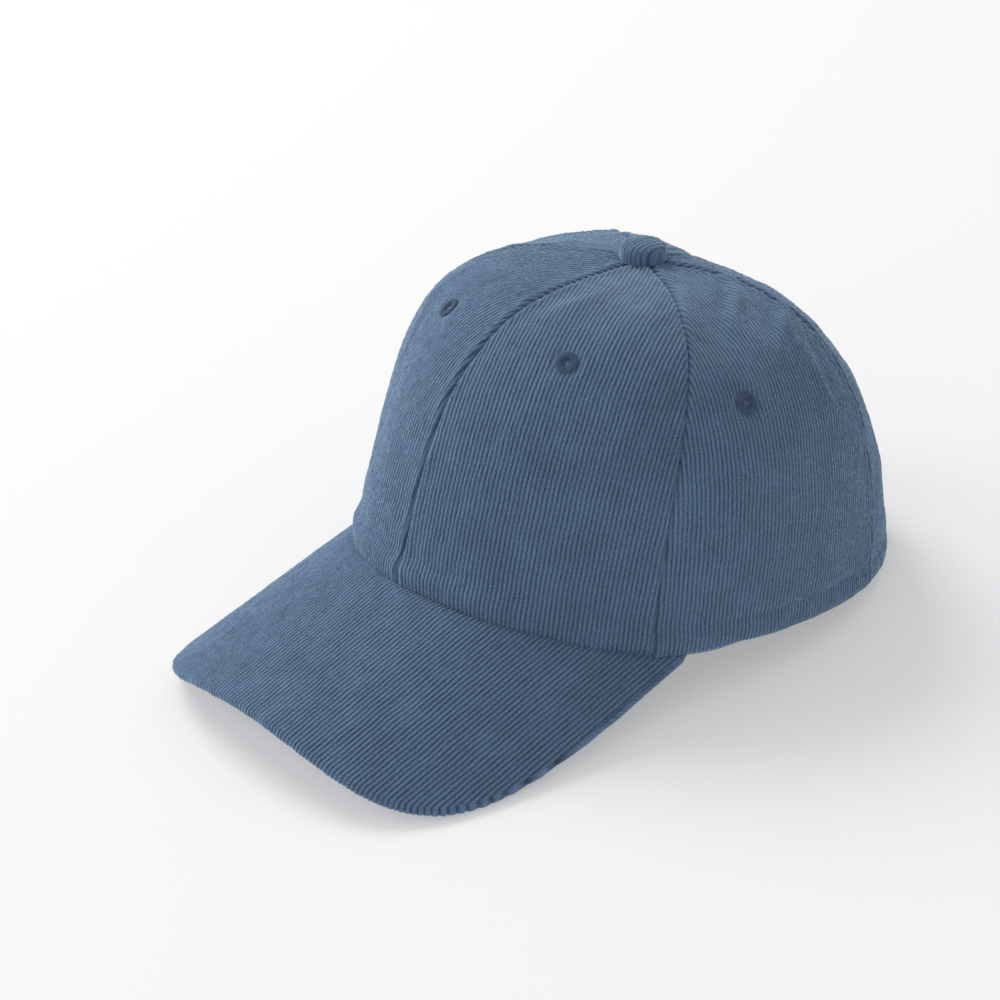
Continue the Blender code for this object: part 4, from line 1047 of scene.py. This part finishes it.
def make_eyelets():
    """Satin-stitched ring round each vent hole: threads that dip into the middle."""
    threads, steps_each = 34, 6
    steps = threads * steps_each
    hole, rim = 0.0007, EYELET_RADIUS * 0.97
    radii = np.linspace(hole, rim, 12)
    crown = 0.00042 * np.sin(np.pi * (radii - hole) / (rim - hole)) ** 0.6
    face = [(r, h - 0.0009 * math.exp(-((r - hole) / 0.0009) ** 2)) for r, h in zip(radii, crown)]
    profile = [(hole, -0.0016)] + face + [(rim, -0.0006), (rim * 0.6, -0.0012), (hole + 0.0006, -0.0017)]
    weight = np.array([0.0] + [1.0] * len(face) + [0.0] * 3)[:, None]
    strand = np.abs(np.sin(threads * full_turn(steps) / 2.0)) ** 0.6
    rng = np.random.default_rng(31)
    for kind in EYELET_PLACES:
        for side, sign in SIDES:
            uneven = np.repeat(rng.normal(0.0, 0.25, threads), steps_each)
            ripple = weight * (0.00022 * (strand - 0.5) + 0.00005 * uneven)
            mesh = turned("ring", profile, crown_frame(*eyelet_angles(kind), sign), steps, ripple)
            name = f"eyelet_{kind}_{side}"
            link(f"vent_{kind}_{side}", mesh, "crown", THREAD, (name,))


# ---- closure


BUCKLE_MIDDLE = (TAB_BAR + HINGE_BAR) / 2.0
BUCKLE_FRAME = crown_frame(np.array(math.pi + BUCKLE_MIDDLE / HEM_HALF_WIDTH),
                           np.array(STRAP_MID_HEIGHT / REAR_RISE))
TAB_RADIUS = BUCKLE_WIRE / 2.0 + BUCKLE_CLEARANCE + TAB_CLOTH
BARREL_RADIUS = BUCKLE_WIRE / 2.0 + FIT_GAP + LEVER_SHEET


def buckle_at(along, level, out):
    """Point in the buckle's rigid frame: along the hem, up the strap's width and outward."""
    return BUCKLE_FRAME(along - BUCKLE_MIDDLE, level, out)


def closure_at(along, level, out):
    """Point of the closure: flat beside the buckle, and following the crown away from it."""
    before = (HINGE_BAR - BARREL_RADIUS - along) / STRAP_EASE
    after = (along - TAB_BAR - TAB_RADIUS) / TAB_EASE
    share = np.clip(np.maximum(before, after), 0.0, 1.0)
    share = (share * share * (3.0 - 2.0 * share))[..., None]
    curved = rear_at(along, level, out)
    return buckle_at(along, level - STRAP_MID_HEIGHT, out) * (1.0 - share) + curved * share


def make_strap():
    half = STRAP / 2.0
    sewn = -CLOSURE_DEPTH - half
    under = BUCKLE_LAYER - BARREL_RADIUS - BUCKLE_CLEARANCE - half
    over = BUCKLE_LAYER + TAB_RADIUS + BUCKLE_CLEARANCE + half
    run = TAB_BAR - HINGE_BAR
    knots = [(-ARCH_HALF_WIDTH - STRAP_SEWN_LENGTH, sewn), (-ARCH_HALF_WIDTH, sewn),
             (-ARCH_HALF_WIDTH / 2.0, sewn), (0.0, under), (HINGE_BAR + 0.05 * run, under),
             (HINGE_BAR + 0.52 * run, (under + over) / 2.0 - 0.0003), (TAB_BAR, over),
             (TAB_BAR + 0.4 * run, over * 0.75), (ARCH_HALF_WIDTH, TAIL_LAYER), (STRAP_TAIL_END, TAIL_LAYER)]
    section, pile = strip_section(STRAP_WIDTH, STRAP, 0.0003)

    def place(along, out, level):
        reach = np.abs(level) / (STRAP_WIDTH / 2.0)
        curve = STRAP_WIDTH * 0.3 * (1.0 - np.sqrt(np.maximum(0.0, 1.0 - reach ** 2.5)))
        share = np.maximum(0.0, along - TAB_BAR) / (STRAP_TAIL_END - TAB_BAR)
        return closure_at(along - curve * share ** 2, STRAP_MID_HEIGHT + level, out)

    mesh = swept("strap", smooth_path(knots, 14), section, pile, place)
    cloth(link("back_strap", mesh, "crown", CORDUROY, ("closure_strap",)))


def make_tab():
    turn_radius = TAB_RADIUS - TAB_CLOTH / 2.0
    layer_at = -CLOSURE_DEPTH - TAB_CLOTH / 2.0
    lead = smooth_path([(ARCH_HALF_WIDTH + STRAP_SEWN_LENGTH, layer_at), (ARCH_HALF_WIDTH, layer_at),
                        (ARCH_HALF_WIDTH - TAB_LEAD, layer_at), (TAB_BAR, BUCKLE_LAYER - turn_radius)], 8)
    turn = np.radians(-90.0 - np.linspace(0.0, 270.0, 34)[1:])
    loop = np.stack([TAB_BAR + turn_radius * np.cos(turn), BUCKLE_LAYER + turn_radius * np.sin(turn)], -1)
    section, pile = strip_section(STRAP_WIDTH, TAB_CLOTH, 0.00025)
    section = section * np.array([1.0, -1.0])

    def place(along, out, level):
        return closure_at(along, STRAP_MID_HEIGHT + level, out)

    mesh = swept("tab", np.concatenate([lead, loop]), section[::-1], pile[::-1], place)
    cloth(link("back_tab", mesh, "crown", CORDUROY, ("buckle_tab",)))


def make_frame():
    """Rounded rectangle of wire."""
    half = STRAP_WIDTH / 2.0 + BUCKLE_SIDE_GAP + BUCKLE_WIRE / 2.0
    reach = (TAB_BAR - HINGE_BAR) / 2.0
    corner, sides = BUCKLE_WIRE, 16
    centres, turns = [], []
    corners = ((reach, half, 0.0), (-reach, half, 90.0), (-reach, -half, 180.0), (reach, -half, 270.0))
    for a, b, start in corners:
        for turn in np.radians(start + np.linspace(0.0, 90.0, 11)):
            centres.append((a - math.copysign(corner, a) + corner * math.cos(turn),
                            b - math.copysign(corner, b) + corner * math.sin(turn)))
            turns.append(turn)
    centres, turns = np.array(centres), np.array(turns)[:, None]
    spin = full_turn(sides)
    side = BUCKLE_WIRE / 2.0 * np.cos(spin)
    along = BUCKLE_MIDDLE + centres[:, :1] + side * np.cos(turns)
    level = centres[:, 1:] + side * np.sin(turns)
    points = buckle_at(along, level, BUCKLE_LAYER + BUCKLE_WIRE / 2.0 * np.sin(spin) + 0.0 * turns)
    mesh = mesh_of("wire", points.reshape(-1, 3), tube_faces(len(centres), sides, True).tolist())
    link("buckle_wire", mesh, "crown", NICKEL, ("buckle_frame",))


def make_lever():
    """Sheet lever: curled round its bar, flat, then bent up into a lip."""
    curl = BARREL_RADIUS - LEVER_SHEET / 2.0
    turn = LEVER_TILT + np.radians(90.0 + 315.0 * (1.0 - np.linspace(0.0, 1.0, 40)))
    path = [(HINGE_BAR + curl * math.cos(t), BUCKLE_LAYER + curl * math.sin(t)) for t in turn]
    a, b = path[-1]
    path += [(a + LEVER_LENGTH * s * math.cos(LEVER_TILT), b + LEVER_LENGTH * s * math.sin(LEVER_TILT))
             for s in np.linspace(0.1, 1.0, 14)]
    a, b = path[-1]
    for s in np.linspace(0.0, 1.0, 7)[1:]:
        lift = LEVER_TILT + math.radians(40.0) * s
        a, b = a + LEVER_LIP / 6.0 * math.cos(lift), b + LEVER_LIP / 6.0 * math.sin(lift)
        path.append((a, b))
    section, pile = strip_section(LEVER_WIDTH, LEVER_SHEET)
    ahead = np.clip((np.arange(len(path)) - (len(path) - 8)) / 7.0, 0.0, 1.0)

    def place(along, out, level):
        return buckle_at(along, level, out)

    mesh = swept("lever", np.array(path), section, pile, place, 1.0 - 0.14 * ahead ** 3)
    link("clamp_lever", mesh, "buckle_lever", NICKEL, ("buckle_lever",))


def make_keeper():
    """Cloth loop that holds the strap's tail down."""
    top = TAIL_LAYER + STRAP / 2.0 + KEEPER_GAP + KEEPER_CLOTH / 2.0
    side = STRAP_WIDTH / 2.0 + KEEPER_GAP + KEEPER_CLOTH / 2.0
    foot, bend = FIT_GAP + 0.0001, 0.0009
    corner = np.linspace(0.0, math.pi / 2.0, 7)
    path = [(-side, foot)]
    path += [(-side + bend - bend * math.cos(t), top - bend + bend * math.sin(t)) for t in corner]
    path += [(x, top) for x in np.linspace(-side + 2.0 * bend, side - 2.0 * bend, 9)]
    path += [(side - bend + bend * math.sin(t), top - bend + bend * math.cos(t)) for t in corner]
    path += [(side, foot)]
    section, pile = strip_section(KEEPER_WIDTH, KEEPER_CLOTH, 0.0002)

    def place(height, out, level):
        return rear_at(KEEPER_PLACE + level, STRAP_MID_HEIGHT + height, out)

    mesh = swept("keeper", np.array(path), section, pile, place)
    link("strap_loop", mesh, "crown", CORDUROY, ("strap_keeper",))


# ---- linings
ON_CLOTH = -CLOTH - LAYER_GAP
ON_BUCKRAM = ON_CLOTH - BUCKRAM - LAYER_GAP
SEWN = []


def make_buckram():
    share = np.linspace(0.0, 1.0, 49)[:, None]
    across = np.linspace(0.0, 1.0, 33)[None, :]
    phi, _ = panel_angles("front", share, across)
    start = SWEATBAND_LIFT / CROWN_HEIGHT
    alpha = start + (apex_angle(phi, TAPE_END_RADIUS) - start) * share
    around, _ = crown_slopes(phi, alpha)
    phi = phi + SEAM_GAP * (1.0 - 2.0 * across) / np.linalg.norm(around, axis=-1)
    grid = crown_at(phi, alpha, ON_CLOTH - BUCKRAM + 0.0 * phi)
    for side, sign in SIDES:
        mesh = layer("buckram", grid * np.array([sign, 1.0, 1.0]), BUCKRAM)
        piece = link(f"front_stiffener_{side}", mesh, "crown", BUCKRAM_CLOTH, (f"buckram_{side}",))
        cloth(piece)


def tape_grid(seam, start, depth):
    share = np.linspace(0.0, 1.0, 81)[:, None]
    high = apex_angle(seam(np.array(1.0)), TAPE_END_RADIUS)
    alpha = start + (high - start) * share
    phi = seam(alpha / apex_angle(seam(np.array(1.0)), APEX_HOLE_RADIUS))
    around, _ = crown_slopes(phi, alpha)
    side = np.linspace(-1.0, 1.0, 13)[None, :]
    turned_by = side * TAPE_WIDTH / 2.0 / np.linalg.norm(around, axis=-1)
    crowned = depth - 0.00025 * (1.0 - side ** 4)
    return crown_at(phi + turned_by, alpha + 0.0 * turned_by, crowned + 0.0 * phi)


def make_tapes():
    start = SWEATBAND_LIFT / CROWN_HEIGHT
    above = (ARCH_HEIGHT + BINDING_WIDTH + FIT_GAP * 2.0) / REAR_RISE
    rows = [("front_centre", centre_seam, start, ON_BUCKRAM, 1.0),
            ("back_centre", back_seam, above, ON_CLOTH, 1.0)]
    rows += [(f"{name}_{side}", seam, start, depth, sign)
             for name, seam, depth in (("side", side_seam, ON_BUCKRAM), ("rear", rear_seam, ON_CLOTH))
             for side, sign in SIDES]
    for name, seam, low, depth, sign in rows:
        grid = tape_grid(seam, low, depth - TAPE) * np.array([sign, 1.0, 1.0])
        piece = link(f"seam_cover_{name}", layer("tape", grid, TAPE), "crown", TAPE_CLOTH,
                     (f"tape_{name}",))
        cloth(piece)
        inward = -facing_out(grid)
        SEWN.extend((grid[:, column], inward[:, column]) for column in (2, 10))


def make_binding():
    turn = np.linspace(0.0, math.pi, 97)[:, None]
    offset = np.linspace(FIT_GAP, BINDING_WIDTH, 9)[None, :]
    along = (ARCH_HALF_WIDTH + offset) * np.cos(turn)
    height = SWEATBAND_LIFT + (ARCH_HEIGHT + offset - SWEATBAND_LIFT) * np.sin(turn)
    share = (offset - FIT_GAP) / (BINDING_WIDTH - FIT_GAP)
    depth = ON_CLOTH - BINDING - 0.0002 * (1.0 - (2.0 * share - 1.0) ** 4) + 0.0 * turn
    grid = rear_at(along, height, depth)
    mesh = layer("binding", grid, BINDING)
    link("opening_facing", mesh, "crown", TAPE_CLOTH, ("arch_binding",))
    inward = -facing_out(grid)
    SEWN.extend((grid[:, column], inward[:, column]) for column in (1, 7))


SWEATBAND_LIMIT = math.pi - ARCH_HALF_WIDTH / HEM_HALF_WIDTH - math.radians(1.5)


def make_sweatband():
    share = np.linspace(0.0, 1.0, 15)[:, None]
    angle = np.linspace(-SWEATBAND_LIMIT, SWEATBAND_LIMIT, 361)[None, :]
    alpha = (SWEATBAND_LIFT + SWEATBAND_WIDTH * share) / REAR_RISE + 0.0 * angle
    puff = 0.0005 * (1.0 - (2.0 * share - 1.0) ** 6)
    puff = puff + 0.00022 * soft_noise(71, 0.084 * angle, share * 0.03, 0.022)
    grid = crown_at(angle + 0.0 * share, alpha, -SWEATBAND_DEPTH - SWEATBAND - puff)
    mesh = layer("band", grid, SWEATBAND)
    piece = link("head_band", mesh, "crown", TWILL, ("sweatband",))
    cloth(piece)
    inward = -facing_out(grid)
    SEWN.extend((grid[row], inward[row]) for row in (1, 2))


def make_label():
    depth = -SWEATBAND_DEPTH - SWEATBAND - LABEL_GAP
    phi, climb = np.array(LABEL_ANGLE), np.array(LABEL_TOP / REAR_RISE)
    top = crown_at(phi, climb, depth)
    foot = crown_at(phi, np.array((LABEL_TOP - LABEL_DROP) / REAR_RISE), depth)
    around, _ = crown_slopes(phi, climb)
    across = unit(np.array([around[0], around[1], 0.0]))
    down = foot - top
    down = unit(down - across * (down @ across))
    inward = np.cross(across, down)
    if inward @ (top * np.array([1.0, 1.0, 0.0])) > 0.0:
        inward = -inward
    start = top + inward * (1.0 - math.cos(LABEL_WIDTH / 2.0 / HEM_HALF_WIDTH)) * HEM_HALF_WIDTH
    a = LABEL_WIDTH * np.linspace(-0.5, 0.5, 41)[None, :]
    b = LABEL_DROP * np.linspace(0.0, 1.0, 45)[:, None]
    curl = 0.0006 * (b / LABEL_DROP) ** 2 * (np.sin(a / 0.006) + 1.2) + 0.0002 * bell(b, 0.001)
    grid = start + across * a[..., None] + down * b[..., None] + inward * (LABEL_SHEET + curl)[..., None]
    facing = np.broadcast_to(inward, grid.shape)
    quads = grid_faces(*grid.shape[:2])
    mesh = thickened("label", grid, facing, quads, LABEL_SHEET * 0.8, wale=laid(grid))
    piece = link("blank_label", mesh, "care_label", SATIN, ("care_label",))
    cloth(piece)
    tacks = stitched("tack", [(grid[4], facing[4])], 0.0016, 0.0006, 0.00015)
    link("label_stitches", tacks, "care_label", THREAD)


def make_stitches():
    link("lining_stitches", stitched("stitch", SEWN), "crown", THREAD)


def dress_nodes():
    """Finishes of the CAD pieces that stay as they are, inside the visor and the button."""
    for name, material in (("visor_board", BOARD), ("button_shell", RIVET)):
        materials = bpy.data.objects[name].data.materials
        materials.clear()
        materials.append(material)


# ---- stage
def make_stage():
    mesh = bpy.data.meshes.new("floor")
    corners = [(FLOOR_REACH * x, FLOOR_REACH * y, 0) for x, y in ((-1, -1), (1, -1), (1, 1), (-1, 1))]
    mesh.from_pydata(corners, [], [(0, 1, 2, 3)])
    material, _ = new_material("floor_white", {
        "Base Color": (0.58, 0.58, 0.58, 1.0), "Emission Color": (1.0, 1.0, 0.995, 1.0),
        "Emission Strength": 0.34, "Roughness": 0.9, "Specular IOR Level": 0.1})
    mesh.materials.append(material)
    floor = bpy.data.objects.new("floor", mesh)
    bpy.context.scene.collection.objects.link(floor)


def area_light(name, place, aim, size, power):
    data = bpy.data.lights.new(name, "AREA")
    data.shape = "DISK"
    data.size = size
    data.energy = power
    light = bpy.data.objects.new(name, data)
    light.location = place
    light.rotation_euler = (Vector(aim) - Vector(place)).to_track_quat("-Z", "Y").to_euler()
    bpy.context.scene.collection.objects.link(light)


def make_lights():
    scene_world = bpy.data.worlds.new("studio")
    bpy.context.scene.world = scene_world
    scene_world.use_nodes = True
    sky = scene_world.node_tree.nodes["Background"]
    sky.inputs["Color"].default_value = (1.0, 1.0, 1.0, 1.0)
    sky.inputs["Strength"].default_value = 0.54
    middle = (0.0, 0.0, 0.06)
    area_light("key", (-2.1, 0.1, 2.4), middle, 1.8, 50.0)
    area_light("side", (-1.8, -1.5, 0.9), middle, 1.6, 20.0)
    area_light("fill", (0.8, -1.9, 1.6), middle, 1.8, 5.0)


FLOOR_REACH = 4.0
CAMERA_AZIMUTH = math.radians(50.48)
CAMERA_ELEVATION = math.radians(28.00)
CAMERA_ROLL = math.radians(-3.08)
CAMERA_DISTANCE = 1.0414
CAMERA_AIM = Vector(PLACE) + Vector((0.0, -0.0233, 0.0629))
CAMERA_LENS = 108.1
CAMERA_SHIFT = (-0.0607, -0.0456)


def make_camera():
    back = Vector((math.sin(CAMERA_AZIMUTH) * math.cos(CAMERA_ELEVATION),
                   -math.cos(CAMERA_AZIMUTH) * math.cos(CAMERA_ELEVATION),
                   math.sin(CAMERA_ELEVATION)))
    right = Vector((0.0, 0.0, 1.0)).cross(back).normalized()
    up = back.cross(right)
    level = Matrix((right, up, back)).transposed()
    turn = level @ Matrix.Rotation(CAMERA_ROLL, 3, "Z")
    data = bpy.data.cameras.new("camera")
    data.lens = CAMERA_LENS
    data.sensor_width = 36.0
    data.shift_x, data.shift_y = CAMERA_SHIFT
    data.clip_start = 0.01
    camera = bpy.data.objects.new("camera", data)
    camera.matrix_world = Matrix.Translation(CAMERA_AIM + back * CAMERA_DISTANCE) @ turn.to_4x4()
    bpy.context.scene.collection.objects.link(camera)
    bpy.context.scene.camera = camera


make_panels()
make_visor()
make_button()
make_eyelets()
make_strap()
make_tab()
make_frame()
make_lever()
make_keeper()
make_buckram()
make_tapes()
make_binding()
make_sweatband()
make_label()
make_stitches()
dress_nodes()
make_stage()
make_lights()
make_camera()
bpy.context.scene.view_settings.view_transform = "Standard"
